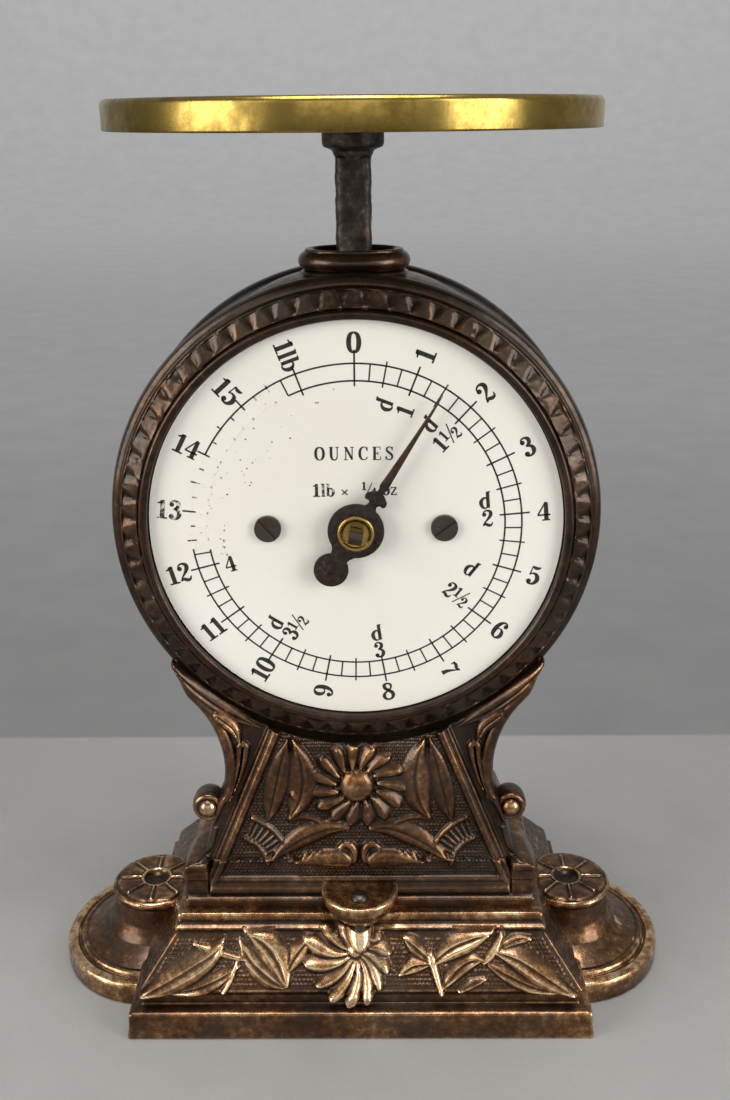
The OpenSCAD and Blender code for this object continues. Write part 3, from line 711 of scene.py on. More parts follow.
def panel_leaves(relief, side):
    """The tall leaves, corner fan, wing leaf and seed head on one side of the panel."""
    def to(points):
        return [(side * x, z) for x, z in points]

    relief.stroke(to([(24.4, 56.5), (23.2, 61), (21.8, 67), (20.2, 74), (18.6, 80)]),
                  [0.5, 2.5, 3.2, 2.4, 0.3], 1.4, panel_plane, crease=0.6, fold=0.45, power=0.55)
    relief.stroke(to([(18.6, 57.6), (16.0, 62), (14.8, 68), (15.4, 74.5), (17.2, 80.3)]),
                  [0.6, 3.2, 4.3, 2.8, 0.3], 2.1, panel_plane, crease=0.7, fold=0.5, power=0.6)
    relief.dome(side * 17.0, 64.2, 1.5, 1.9, panel_plane)
    relief.stroke(to([(18.6, 57.2), (14.5, 57.6), (10.5, 56.2), (8, 54.6)]), [1.2, 0.9, 0.7, 0.4], 1.2,
                  panel_plane)

    def on_fan(radius, degrees):
        t = math.radians(degrees)
        return 33.5 + radius * math.cos(t) * 1.02, 42.0 + radius * 1.12 * math.sin(t)

    for radius, width in ((14.6, 0.75), (8.8, 0.7)):
        relief.stroke(to([on_fan(radius, t) for t in (110, 130, 150, 172)]), [width] * 4, 1.3, panel_plane)
    for k in range(9):
        relief.stroke(to([on_fan(r, 112 + k * 7) for r in (9.2, 11.6, 14.0)]), [0.42] * 3, 0.8, panel_plane)
    relief.stroke(to([(3.0, 54.4), (8.5, 54.2), (14.5, 51.8), (20.0, 48.2), (24.0, 44.6)]),
                  [0.8, 2.6, 3.2, 2.1, 0.3], 1.8, panel_plane, crease=0.5, fold=0.4, power=0.6)
    relief.stroke(to([(5.6, 48.6), (3.8, 49.6), (2.0, 48.8), (1.2, 46.6), (1.4, 44.4)]),
                  [0.6, 1.1, 1.3, 1.1, 0.7], 1.7, panel_plane)
    relief.stroke(to([(3.4, 44.6), (6.4, 45.4), (10.6, 45.4), (17.6, 44.4)]), [2.0, 2.9, 2.5, 0.3], 2.0,
                  panel_plane, power=0.5)
    for k in range(5):
        x = 7.5 + 1.7 * k
        relief.stroke(to([(x, 43.6), (x + 0.9, 45.4), (x, 47.2)]), [0.25, 0.4, 0.25], 2.1 - 0.1 * k,
                      panel_plane)


def softened(level, times=2):
    """The level eased a little, as lacquer fills the corners of a casting."""
    for _ in range(times):
        padded = np.pad(level, 1, mode="edge")
        beside = padded[2:, 1:-1] + padded[:-2, 1:-1] + padded[1:-1, 2:] + padded[1:-1, :-2]
        level = (2 * level + 0.5 * beside) / 4
    return level


def pedestal_level(x, z):
    """How far the pedestal's decorated face stands from the middle, at each point."""
    plane = panel_plane(x, z)
    half = pedestal_half_width(z)
    slope = 0.409
    tilt = math.cos(math.atan(slope))
    out = np.maximum((np.abs(x) - 36.4 + slope * (z - 42)) * tilt, (PANEL_FOOT - z) / 2)
    bar = plane + np.interp(out, [0, 0.3, 0.7, 1.3, 1.9, 2.25, 2.45, 2.65, 2.9, 3.2, 3.5, 3.9],
                            [0, 1.0, 1.45, 1.6, 1.45, 1.1, 0.6, 0.6, 1.05, 1.1, 0.9, -0.2])
    low_bar = plane + np.interp(PANEL_FOOT - z, [0, 0.3, 0.8, 1.3, 1.7, 2.2, 2.9, 3.6, 4.3, 4.9, 5.3, 6],
                                [0, 0.9, 1.2, 1.15, 0.85, 1.35, 1.95, 2.1, 1.9, 1.4, 1.0, 1.0])
    bar = np.where((PANEL_FOOT - z) / 2 >= out - 1e-6, low_bar, bar)
    level = np.where(out <= 0, plane, bar)
    relief = Relief(x, z, level)
    sunflower(relief)
    for side in (-1, 1):
        panel_leaves(relief, side)
    inside = out <= 0
    level = softened(np.where(inside, relief.level, level), 3)
    bare = inside * (1 - soft_step(level - plane, 0.03, 0.2))
    level = level + bare * pebbled(x, z, 1.05, 0.42)
    relief = Relief(x, z, level)
    for side in (-1, 1):
        edge = [(side * (pedestal_half_width(h) - 1.9), h) for h in (97, 92, 87, 82, 77, 72, 67, 63)]
        relief.stroke(edge, [1.5, 1.9, 2.0, 2.0, 1.9, 1.8, 1.7, 1.5], 1.5, strip_plane, power=0.6)
        relief.stroke([(side * 30.3, 77.6), (side * 30.9, 73), (side * 32.2, 68), (side * 34.2, 62.5)],
                      [1.9, 1.5, 1.0, 0.3], 1.5, strip_plane, crease=1.3, power=0.35)
        relief.stroke([(side * 39.6, 55.0), (side * 38.0, 59.5), (side * 35.8, 63)], [1.0, 1.5, 1.1], 1.6,
                      strip_plane)
        relief.stroke([(side * 43.0, 45.2), (side * 40.4, 49), (side * 38.6, 54)], [0.8, 1.2, 0.8], 0.9,
                      strip_plane)
    level = relief.level
    foot = soft_step(SLAB_TOP - z, 0, 0.5)
    slab = 25.0 - 0.5 * soft_step(z, 33.7, 34.3) - 0.35 * soft_step(31.9 - z, 0, 0.6)
    level = level * (1 - foot) + slab * foot
    block = (np.abs(x) > 40.6) & (z < FOOT_TOP + 0.3) & (z > 34.5)
    block_level = 24.2 + 0.8 * soft_step(z, 42.4, 43.1) - 0.9 * soft_step(z, 44.1, 44.9)
    block_level -= 0.7 * soft_step(39.6 - z, 0, 0.5)
    block_level -= 0.7 * (1 - soft_step(np.abs(x), 40.6, 41.2)) * (z > SLAB_TOP)
    level = np.where(block, block_level, level)
    radius = np.hypot(x, z - DIAL_Z)
    pushed = np.minimum(level, 15.4 + (radius - SEAT_R) * 4.0)
    relief = Relief(x, z, pushed)
    for side in (-1, 1):
        relief.stroke([(side * 47.8, 100.8), (side * 44.6, 96.6), (side * 40.3, 92.2), (side * 35.6, 88.4),
                       (side * 30.4, 85.4), (side * 25.2, 83.2)], [0.9, 1.9, 2.6, 2.8, 2.1, 0.2], 2.7,
                      seat_plane, crease=0.8, fold=0.25, power=0.6)
        relief.stroke([(side * 36.5, 86.5), (side * 32.6, 83.2), (side * 31.0, 79.6)], [1.8, 1.9, 0.4], 1.9,
                      strip_plane, crease=0.5)
    level = relief.level
    gap = (half - np.abs(x)) * 0.93
    corner = np.where(z < FOOT_TOP + 0.3, 0.9, 2.2)
    short = np.clip(corner - gap, 0, None)
    return level - (corner - np.sqrt(np.clip(corner ** 2 - short ** 2, 0, None)))


def pedestal():
    """The decorated pedestal under the drum, the same at the front and at the back."""
    columns = 321
    s = np.linspace(-1, 1, columns)
    low = np.concatenate((np.linspace(BASE_TOP, 44.4, 48), np.linspace(44.55, 45.4, 5),
                          np.linspace(45.7, 78.6, 125)))
    z_low = np.repeat(low[:, None], columns, 1)
    top = np.full(columns, 79.0)
    for _ in range(40):
        x = s * pedestal_half_width(top)
        top = 0.5 * top + 0.5 * (DIAL_Z - np.sqrt(np.clip(SEAT_R ** 2 - x ** 2, 1, None)))
    share = np.linspace(0, 1, 61)[1:, None]
    z_all = np.concatenate((z_low, 78.6 + share * (top - 78.6)[None, :]))
    x_all = s[None, :] * pedestal_half_width(z_all)
    level = pedestal_level(x_all, z_all)
    rows = len(z_all)
    front = np.stack((x_all, -level, z_all), -1)
    taper = 1 - 0.13 * soft_step(z_all, 31, 33) * (1 - soft_step(z_all, 84, 96))
    back = np.stack((x_all * taper, level - 0.6, z_all), -1)[:, ::-1]
    verts = np.concatenate((front, back), 1).reshape(-1, 3)
    ring = 2 * columns
    faces = grid_faces(rows, ring, wrap=True)
    for start in (0, (rows - 1) * ring):
        faces += strip_faces(ring, start)
    raised = level - panel_plane(x_all, z_all)
    tone = np.clip(0.12 + 0.22 * raised, 0, 0.36 + 0.3 * soft_step(z_all, 44, 47))
    tone = np.concatenate((tone, tone[:, ::-1]), 1).ravel()
    make("pedestal", verts, faces, "case", "cast_bronze_lacquer", 60, tone)


def volutes():
    """The scroll ends at the pedestal's sides, a rolled rim round a ball."""
    shape = Shape()
    profile = rounded([(0, 13), (3.6, 13), (4.2, 15), (4.3, 18.4), (3.9, 19.8), (3.3, 20.2), (2.8, 20)], 0.8)
    profile = np.concatenate((profile, arc(0, 18.9, 2.7, 22, 90, 7)))
    profile[-1, 0] = 0
    verts, faces = lathe(profile, 40)
    for side in (-1, 1):
        placed = along_y(verts, side * 40.4, 59.4)
        placed[:, 1] *= -1
        shape.add(placed, faces, np.interp(verts[:, 2], [17, 21.5], [0.25, 0.75]))
    make_shape("volutes", shape, "case", "cast_bronze_lacquer", 40)


def side_swell(name, cx, cz, r, start, end, y0, y1, z_low):
    """A convex swelling behind the pedestal or the base block, one on each side."""
    shape = Shape()
    edge = arc(cx, cz, r, start, end, 20)
    edge[:, 1] = np.maximum(edge[:, 1], z_low)
    depths = [(y0, 2.6), (y0 + 0.5, 1.2), (y0 + 1.4, 0.35), (y0 + 3, 0), (y1 - 3, 0), (y1 - 1.4, 0.35),
              (y1 - 0.5, 1.2), (y1, 2.6)]
    inner = np.array([[cx + 10, edge[-1, 1] - 12], [cx + 10, z_low]])
    for side in (-1, 1):
        rows = []
        for y, inset in depths:
            pulled = np.array((cx, cz)) + (edge - (cx, cz)) * (1 - inset / r)
            pulled[:, 1] = np.maximum(pulled[:, 1], z_low)
            outline = np.concatenate((pulled, inner))
            rows.append(np.column_stack((side * outline[:, 0], np.full(len(outline), y), outline[:, 1])))
        shape.add(np.concatenate(rows), tube_faces(len(rows), len(rows[0])), 0.3)
    make_shape(name, shape, "case", "cast_bronze_lacquer", 50)


def lugs():
    """The half-round lugs that the casting screws pass through, with their tapering brackets."""
    shape = Shape()
    profile = rounded([(0, 27.5), (2.6, 28), (6.3, 30.2), (8.8, 33.2), (9.6, 35.3), (10.3, 35.8),
                       (10.3, 38.0),
                       (9.9, 38.4), (9.2, 38.4), (8.8, 38.2), (0, 38.2)], 0.4)
    verts, faces = lathe(profile, 96)
    for side in (-1, 1):
        shape.add(verts + (0, side * LUG_Y, 0), faces,
                  np.interp(verts[:, 2], [28, 36, 38.5], [0.3, 0.5, 0.8]))
    make_shape("lugs", shape, "case", "cast_bronze_lacquer", 40)


# ---------- base ----------

# Half-width, half-depth and height down the outside of the base block
BLOCK_LEVELS = np.array([
    (62.2, 39.5, 0.0), (62.6, 39.9, 0.4), (62.6, 40.0, 1.0), (62.0, 40.0, 4.5), (61.9, 40.0, 7.7),
    (61.8, 39.9, 8.1), (61.5, 39.6, 8.4), (60.8, 38.9, 8.6), (59.6, 37.5, 8.8), (59.0, 36.9, 9.0),
    (58.7, 36.7, 9.6), (58.7, 36.7, 12.4), (58.9, 36.9, 13.0), (59.2, 37.4, 13.5), (59.2, 37.5, 14.0),
    (58.9, 37.1, FRIEZE_LOW), (50.0, 28.6, FRIEZE_TOP), (49.6, 28.2, 26.1), (49.6, 28.3, 26.4),
    (50.0, 28.8, 26.8), (50.0, 28.8, 27.5), (49.5, 28.0, 27.9), (49.0, 27.3, 28.2), (49.0, 27.3, 28.5),
    (49.2, 27.6, 28.9), (49.2, 27.6, 30.5), (49.0, 27.4, 31.0), (48.5, 26.9, BASE_TOP)])


def frieze_plane(x, z):
    """How far the sloping ground of the frieze stands from the middle."""
    return 37.0 - (z - 13.9) * 0.737


def pinwheel(relief):
    """The big turning flower in the middle of the frieze."""
    cx, cz = -1.2, 22.4
    blades = ((52, 7.0, 1.7), (24, 9.0, 2.0), (-2, 9.6, 2.0), (-26, 10.6, 1.9), (-50, 12.4, 1.8),
              (-72, 13.0, 1.8), (-94, 12.8, 1.8), (-116, 12.8, 1.8), (-140, 13.6, 2.0), (-163, 13.6, 2.2),
              (171, 10.5, 2.1), (143, 7.4, 1.8))
    for angle, reach, width in blades:
        a = math.radians(angle)
        line = []
        for t in (0.16, 0.4, 0.65, 0.88, 1.0):
            turn = a - 0.55 * (t - 0.16)
            line.append((cx + reach * t * math.cos(turn), cz + reach * 0.92 * t * math.sin(turn)))
        relief.stroke(line, [0.6, width * 0.65, width, width * 0.95, width * 0.5], 2.3, frieze_plane,
                      fold=0.5, power=0.6)
    relief.dome(cx, cz + 0.7, 2.5, 3.2, frieze_plane)
    relief.stroke([(-0.2, 28.5), (0.0, 25.4), (0.0, 23.4)], [3.4, 3.2, 0.5], 4.6, frieze_plane, power=0.4)


def frieze_leaves(relief):
    """The leaves and stems on both sides of the frieze's flower."""
    leaf = dict(ground=frieze_plane, crease=0.9, fold=0.35, power=0.65)
    twig = dict(ground=frieze_plane)
    relief.stroke([(-19.6, 15.2), (-21.8, 19.4), (-25.6, 23.4), (-31, 26.4)], [0.9, 3.9, 3.3, 0.3], 2.2,
                  **leaf)
    relief.stroke([(-20.4, 14.6), (-24.8, 16.6), (-29.4, 20), (-32.6, 24.4)], [0.5, 2.5, 2.3, 0.3], 1.7,
                  **leaf)
    relief.stroke([(-19.4, 18.2), (-16.6, 21.6), (-13.0, 25.0)], [1.0, 2.5, 0.4], 1.9, **leaf)
    relief.stroke([(-58.6, 12.9), (-52.5, 15.2), (-45.2, 18.4), (-39.2, 21.6), (-36.6, 24.6)],
                  [0.3, 2.7, 3.5, 2.4, 0.4], 2.4, **leaf)
    relief.stroke([(-50, 13.4), (-43.5, 14.2), (-37.5, 16.2), (-32.5, 18.8)], [0.4, 1.7, 1.7, 0.3], 1.5,
                  **leaf)
    relief.stroke([(-45, 23.6), (-40, 22.4), (-35.5, 21.2), (-31, 20.4)], [0.4, 0.8, 0.9, 0.6], 1.5, **twig)
    relief.stroke([(-36.4, 13.6), (-34.4, 16.4), (-32.6, 20.6)], [0.7, 0.8, 0.6], 1.5, **twig)
    relief.stroke([(19.2, 19.6), (24.2, 22.4), (29.6, 24.2), (35.6, 26.0)], [0.8, 2.8, 2.7, 0.3], 2.2, **leaf)
    relief.stroke([(18.6, 20.2), (14.8, 22.6), (11.6, 25.0)], [0.8, 2.2, 0.4], 1.8, **leaf)
    relief.stroke([(18.4, 19.4), (14.2, 18.8), (10.4, 17.2)], [0.8, 2.1, 0.4], 1.9, **leaf)
    relief.stroke([(19.0, 21.0), (20.4, 17.0), (21.6, 13.4)], [1.3, 1.2, 0.8], 2.1, **twig)
    relief.stroke([(22, 14.4), (25.6, 17.6), (29.2, 19.6), (32.8, 20.2)], [0.5, 2.0, 1.9, 0.4], 1.7, **leaf)
    relief.stroke([(26.4, 13.6), (29.6, 15.2), (33.4, 16.2)], [0.4, 1.3, 0.5], 1.5, **leaf)
    relief.stroke([(33.0, 19.6), (35.6, 21.8), (38.0, 25.2)], [0.6, 1.3, 0.6], 1.9, **twig)
    relief.stroke([(36.4, 22), (42.4, 20), (49.4, 16.4), (57.4, 12.8)], [0.7, 2.7, 3.0, 0.3], 2.3, **leaf)
    relief.stroke([(34.2, 19.2), (39.4, 16.8), (45.4, 14.6), (52, 13.3)], [0.5, 1.8, 1.6, 0.3], 1.7, **leaf)
    relief.stroke([(37.6, 22.6), (41.6, 24.0), (46.0, 24.4)], [0.6, 1.2, 0.4], 1.5, **leaf)


def base_block():
    """The hipped block of the base, with a frieze along its front and back."""
    marks = BLOCK_LEVELS[:, 2]
    heights = np.unique(np.concatenate((marks, np.linspace(9.0, 14.2, 18),
                                        np.linspace(FRIEZE_LOW, FRIEZE_TOP, 56))))
    half_w = np.interp(heights, marks, BLOCK_LEVELS[:, 0])
    half_d = np.interp(heights, marks, BLOCK_LEVELS[:, 1])
    columns, sides, corner = 321, 70, 0.7
    s = np.linspace(-1, 1, columns)
    x = s[None, :] * (half_w - corner)[:, None]
    z = np.repeat(heights[:, None], columns, 1)
    in_frieze = (z > FRIEZE_LOW - 0.1) & (z < FRIEZE_TOP + 0.1)
    edge = np.minimum(np.minimum(z - 14.6, 25.6 - z), (half_w[:, None] - 1.6 - np.abs(x)))
    level = np.repeat(half_d[:, None], columns, 1)
    relief = Relief(x, z - 0.5, level)
    frieze_leaves(relief)
    pinwheel(relief)
    relief.level = softened(relief.level)
    bare = in_frieze * (1 - soft_step(relief.level - level, 0.03, 0.2)) * soft_step(edge, 0, 0.5)
    relief.level = relief.level + bare * pebbled(x, z, 1.05, 0.4)
    allowed = np.where(z > 9.0, 39.9, half_d[:, None])
    front = np.where((z > 8.7) & (z < 28.4), np.minimum(relief.level, allowed), half_d[:, None])
    t = np.linspace(-1, 1, sides)
    rough = RANDOM.standard_normal((len(heights), sides)) * 0.1
    on_hip = ((heights > FRIEZE_LOW) & (heights < FRIEZE_TOP))[:, None]
    y_side = t[None, :] * (half_d - corner)[:, None]
    x_side = half_w[:, None] + np.where(on_hip, rough, 0)
    turn = np.radians(np.array((22.5, 45, 67.5)))
    rows = []
    for k, h in enumerate(heights):
        hw, hd = half_w[k] - corner, half_d[k] - corner
        near = (np.column_stack((x[k], -front[k])),
                np.column_stack((hw + corner * np.sin(turn), -hd - corner * np.cos(turn))),
                np.column_stack((x_side[k], y_side[k])),
                np.column_stack((hw + corner * np.cos(turn), hd + corner * np.sin(turn))))
        ring = np.concatenate(near + tuple(-side for side in near))
        rows.append(np.column_stack((ring, np.full(len(ring), h))))
    count = len(rows[0])
    outer = np.stack(rows)
    under = []
    for hw, hd, h in ((57.5, 36.0, 0.0), (56.5, 35.0, 4.0), (44.5, 22.5, 27.5)):
        flat = outer[0].copy()
        flat[:, 0] *= hw / 62.2
        flat[:, 1] *= hd / 39.5
        flat[:, 2] = h
        under.insert(0, flat)
    verts = np.concatenate((np.stack(under), outer)).reshape(-1, 3)
    total = len(under) + len(heights)
    raised = front - half_d[:, None]
    tone = np.full((total, count), 0.5)
    body = tone[len(under):]
    wear_and_light = np.clip(np.where(in_frieze, 0.28, 0.5) + 0.27 * raised, 0, 1)
    body[:, :columns] = wear_and_light
    body[:, columns + sides + 6:2 * columns + sides + 6] = wear_and_light[:, ::-1]
    make("base_block", verts, tube_faces(total, count), "case", "cast_bronze_lacquer", 50, tone.ravel(),
         stands_for=("base_casting",))


def lobes():
    """The round side lobes of the base, each with a flower boss."""
    bowl = rounded([(0, 20), (9, 20), (9, 3.5), (21.8, 3.5), (21.8, 0), (26.6, 0), (LOBE_R, 0.5),
                    (LOBE_R, 5.2), (26.5, 6.4), (25.2, 6.8), (24.2, 6.6), (23.7, 5.9), (23.1, 6.0),
                    (22.7, 7.2), (21.9, 7.6), (21.2, 7.3), (20.6, 7.6), (17.5, 8.9), (14.9, 10.6),
                    (13.4, 12.4),
                    (12.5, 14.6), (12.15, 17), (12.0, 19.6), (11.9, 20.1), (12.5, 21.0), (12.6, 21.9),
                    (11.9, 22.6)], 0.45)
    segments = 192
    verts, faces = lathe(bowl, segments)
    count = len(verts)
    angle = np.linspace(0, 2 * np.pi, segments, endpoint=False)
    tops, tone = [], [np.interp(verts[:, 2], [0, 6.9, 7.4, 12, 20, 22.6], [0.5, 0.85, 0.5, 0.42, 0.42, 0.7])]
    radii = np.linspace(11.6, 0.4, 30)
    for r in radii:
        seam = np.abs(((angle * 8 / (2 * np.pi)) % 1) - 0.5) * 2
        tip = 9.4 + 1.5 * np.sqrt(1 - seam ** 3)
        in_petal = soft_step(r, 4.4, 5.2) * (1 - soft_step(r, tip, tip + 0.9))
        line = np.exp(-((1 - seam) * r / 0.95) ** 2) * soft_step(r, 4.2, 4.8) * (1 - soft_step(r, 10.0, 11.2))
        h = 22.6 + in_petal * (0.25 + 0.45 * (1 - seam ** 2)) + 0.75 * line
        h = h + 0.9 * np.exp(-((r - 4.1) / 0.6) ** 2) - 0.7 * (1 - soft_step(r, 1.6, 3.6))
        tops.append(np.column_stack((r * np.cos(angle), r * np.sin(angle), h)))
        tone.append(np.clip(0.42 + 0.4 * (h - 22.8), 0, 1))
    ring_verts = np.concatenate(tops)
    faces += grid_faces(len(radii), segments, wrap=True, first=count)
    faces += [(count - segments + i, count - segments + (i + 1) % segments, count + (i + 1) % segments,
               count + i)
              for i in range(segments)]
    faces.append([count + (len(radii) - 1) * segments + i for i in range(segments)])
    verts = np.concatenate((verts, ring_verts))
    shape = Shape()
    for side in (-1, 1):
        shape.add(verts * (side, 1, 1) + (side * LOBE_X, 0, 0), faces, np.concatenate(tone))
    make_shape("lobes", shape, "case", "cast_bronze_lacquer", 50)


# ---------- dial ----------

# Each stroke of a figure is a line of (x, height, thickness); a dot is a single point. Figures are 1 high.
FIGURES = {
    "0": [[(0.32, 0.98, 0.07), (0.16, 0.86, 0.15), (0.10, 0.5, 0.19), (0.16, 0.14, 0.15), (0.32, 0.02, 0.07),
           (0.48, 0.14, 0.15), (0.54, 0.5, 0.19), (0.48, 0.86, 0.15), (0.32, 0.98, 0.07)]],
    "1": [[(0.32, 0.04, 0.18), (0.32, 0.5, 0.18), (0.32, 0.96, 0.18)],
          [(0.36, 0.97, 0.05), (0.22, 0.84, 0.08),
          (0.08, 0.80, 0.05)], [(0.08, 0.03, 0.07), (0.56, 0.03, 0.07)]],
    "2": [[(0.16, 0.73, 0.2)],
          [(0.10, 0.74, 0.06), (0.16, 0.91, 0.07), (0.33, 0.97, 0.09), (0.49, 0.86, 0.16),
           (0.48, 0.66, 0.17), (0.32, 0.42, 0.10), (0.16, 0.24, 0.06), (0.07, 0.05, 0.04)],
          [(0.07, 0.07, 0.07), (0.2, 0.15, 0.13), (0.36, 0.06, 0.15), (0.5, 0.07, 0.1), (0.58, 0.24, 0.04)]],
    "3": [[(0.17, 0.77, 0.19)], [(0.17, 0.15, 0.2)],
          [(0.10, 0.78, 0.05), (0.17, 0.93, 0.07), (0.32, 0.97, 0.08),
          (0.46, 0.86, 0.15), (0.44, 0.65, 0.15), (0.26, 0.53, 0.05)],
          [(0.26, 0.53, 0.05), (0.46, 0.46, 0.12), (0.52, 0.27, 0.18), (0.44, 0.08, 0.13), (0.28, 0.02, 0.08),
           (0.14, 0.06, 0.07), (0.08, 0.18, 0.05)]],
    "4": [[(0.42, 0.98, 0.05), (0.24, 0.66, 0.06), (0.05, 0.31, 0.06)],
          [(0.04, 0.3, 0.07), (0.62, 0.3, 0.07)],
          [(0.43, 0.04, 0.17), (0.43, 0.5, 0.17), (0.43, 0.95, 0.15)],
          [(0.24, 0.03, 0.06), (0.6, 0.03, 0.06)]],
    "5": [[(0.14, 0.97, 0.05), (0.3, 0.9, 0.14), (0.46, 0.93, 0.1), (0.53, 1.0, 0.04)],
          [(0.15, 0.95, 0.05), (0.14, 0.74, 0.05), (0.12, 0.5, 0.05)], [(0.16, 0.15, 0.2)],
          [(0.12, 0.5, 0.05), (0.24, 0.6, 0.07), (0.42, 0.56, 0.14), (0.52, 0.32, 0.19), (0.42, 0.09, 0.13),
           (0.26, 0.02, 0.08), (0.13, 0.05, 0.06), (0.08, 0.17, 0.05)]],
    "6": [[(0.47, 0.81, 0.19)],
          [(0.53, 0.82, 0.05), (0.46, 0.94, 0.07), (0.33, 0.97, 0.08), (0.18, 0.82, 0.14),
           (0.11, 0.5, 0.19), (0.16, 0.16, 0.16), (0.32, 0.02, 0.07), (0.48, 0.12, 0.15), (0.52, 0.3, 0.17),
           (0.46, 0.48, 0.13), (0.33, 0.56, 0.06), (0.2, 0.48, 0.05), (0.14, 0.34, 0.05)]],
    "7": [[(0.08, 0.98, 0.05), (0.09, 0.74, 0.05)], [(0.08, 0.9, 0.08), (0.24, 0.94, 0.14), (0.4, 0.87, 0.13),
           (0.57, 0.97, 0.05)],
          [(0.57, 0.97, 0.05), (0.42, 0.66, 0.08), (0.31, 0.36, 0.15), (0.28, 0.08, 0.2)]],
    "8": [[(0.32, 0.97, 0.07), (0.18, 0.88, 0.13), (0.18, 0.7, 0.15), (0.34, 0.54, 0.14), (0.5, 0.4, 0.16),
           (0.53, 0.22, 0.15), (0.45, 0.07, 0.1), (0.32, 0.02, 0.07), (0.16, 0.08, 0.12), (0.1, 0.24, 0.15),
           (0.18, 0.42, 0.1), (0.34, 0.54, 0.06), (0.46, 0.68, 0.08), (0.47, 0.86, 0.1), (0.32, 0.97, 0.07)]],
    "l": [[(0.16, 0.04, 0.16), (0.16, 0.98, 0.16)], [(0.02, 0.03, 0.06), (0.31, 0.03, 0.06)],
          [(0.02, 0.96, 0.05), (0.14, 0.97, 0.05)]],
    "b": [[(0.15, 0.03, 0.15), (0.15, 0.98, 0.15)], [(0.02, 0.96, 0.05), (0.14, 0.97, 0.05)],
          [(0.15, 0.5, 0.05), (0.3, 0.63, 0.08), (0.46, 0.5, 0.14), (0.5, 0.32, 0.17), (0.44, 0.11, 0.13),
           (0.3, 0.02, 0.07), (0.15, 0.12, 0.05)]],
    "o": [[(0.26, 0.64, 0.06), (0.13, 0.54, 0.13), (0.09, 0.33, 0.16), (0.13, 0.12, 0.13), (0.26, 0.02, 0.06),
           (0.39, 0.12, 0.13), (0.43, 0.33, 0.16), (0.39, 0.54, 0.13), (0.26, 0.64, 0.06)]],
    "z": [[(0.04, 0.62, 0.06), (0.42, 0.62, 0.06)], [(0.40, 0.6, 0.1), (0.08, 0.05, 0.1)],
          [(0.05, 0.04, 0.06), (0.44, 0.04, 0.06)], [(0.05, 0.62, 0.04), (0.05, 0.48, 0.04)],
          [(0.43, 0.04, 0.04), (0.43, 0.2, 0.04)]],
    "x": [[(0.08, 0.12, 0.07), (0.46, 0.52, 0.07)], [(0.08, 0.52, 0.07), (0.46, 0.12, 0.07)]],
    "/": [[(0.0, 0.0, 0.05), (0.42, 1.0, 0.05)]],
    "O": [[(0.36, 0.98, 0.06), (0.17, 0.85, 0.13), (0.1, 0.5, 0.16), (0.17, 0.15, 0.13), (0.36, 0.02, 0.06),
           (0.55, 0.15, 0.13), (0.62, 0.5, 0.16), (0.55, 0.85, 0.13), (0.36, 0.98, 0.06)]],
    "U": [[(0.17, 0.96, 0.15), (0.17, 0.35, 0.15), (0.24, 0.1, 0.11), (0.38, 0.02, 0.07), (0.52, 0.1, 0.07),
           (0.57, 0.35, 0.06), (0.57, 0.96, 0.06)], [(0.04, 0.97, 0.05), (0.3, 0.97, 0.05)],
          [(0.46, 0.97, 0.05), (0.68, 0.97, 0.05)]],
    "N": [[(0.16, 0.04, 0.06), (0.16, 0.96, 0.06)], [(0.16, 0.95, 0.13), (0.58, 0.05, 0.13)],
          [(0.58, 0.04, 0.06), (0.58, 0.96, 0.06)], [(0.04, 0.03, 0.05), (0.28, 0.03, 0.05)],
          [(0.04, 0.97, 0.05), (0.2, 0.97, 0.05)], [(0.46, 0.97, 0.05), (0.7, 0.97, 0.05)]],
    "C": [[(0.58, 0.7, 0.05), (0.52, 0.92, 0.06), (0.37, 0.98, 0.06), (0.18, 0.85, 0.13), (0.1, 0.5, 0.16),
           (0.18, 0.15, 0.13), (0.37, 0.02, 0.06), (0.52, 0.08, 0.06), (0.6, 0.24, 0.05)],
          [(0.59, 0.68, 0.05), (0.59, 0.98, 0.05)]],
    "E": [[(0.18, 0.04, 0.15), (0.18, 0.96, 0.15)], [(0.04, 0.03, 0.05), (0.56, 0.03, 0.05)],
          [(0.04, 0.97, 0.05), (0.54, 0.97, 0.05)], [(0.2, 0.5, 0.05), (0.4, 0.5, 0.05)],
          [(0.54, 0.97, 0.05), (0.54, 0.76, 0.05)], [(0.57, 0.03, 0.05), (0.57, 0.26, 0.05)],
          [(0.4, 0.62, 0.05), (0.4, 0.38, 0.05)]],
    "S": [[(0.48, 0.74, 0.05), (0.43, 0.92, 0.06), (0.29, 0.98, 0.06), (0.14, 0.88, 0.1), (0.15, 0.68, 0.13),
           (0.32, 0.52, 0.15), (0.47, 0.34, 0.13), (0.46, 0.12, 0.1), (0.3, 0.02, 0.06), (0.15, 0.08, 0.06),
           (0.08, 0.28, 0.05)], [(0.49, 0.72, 0.05), (0.49, 0.97, 0.05)],
          [(0.07, 0.3, 0.05), (0.07, 0.03, 0.05)]],
}
FIGURES["9"] = [[(0.64 - x, 1 - h, t) for x, h, t in stroke] for stroke in FIGURES["6"]]
FIGURES["d"] = [[(0.56 - x, h, t) for x, h, t in stroke] for stroke in FIGURES["b"]]
ADVANCE = {"1": 0.6, "l": 0.34, "b": 0.58, "d": 0.58, "o": 0.54, "z": 0.5, "x": 0.6, "/": 0.3, "O": 0.78,
           "U": 0.8,
           "N": 0.8, "C": 0.74, "E": 0.7, "S": 0.62, " ": 0.4}
INK_T = 0.04
INK_SUNK = 0.05


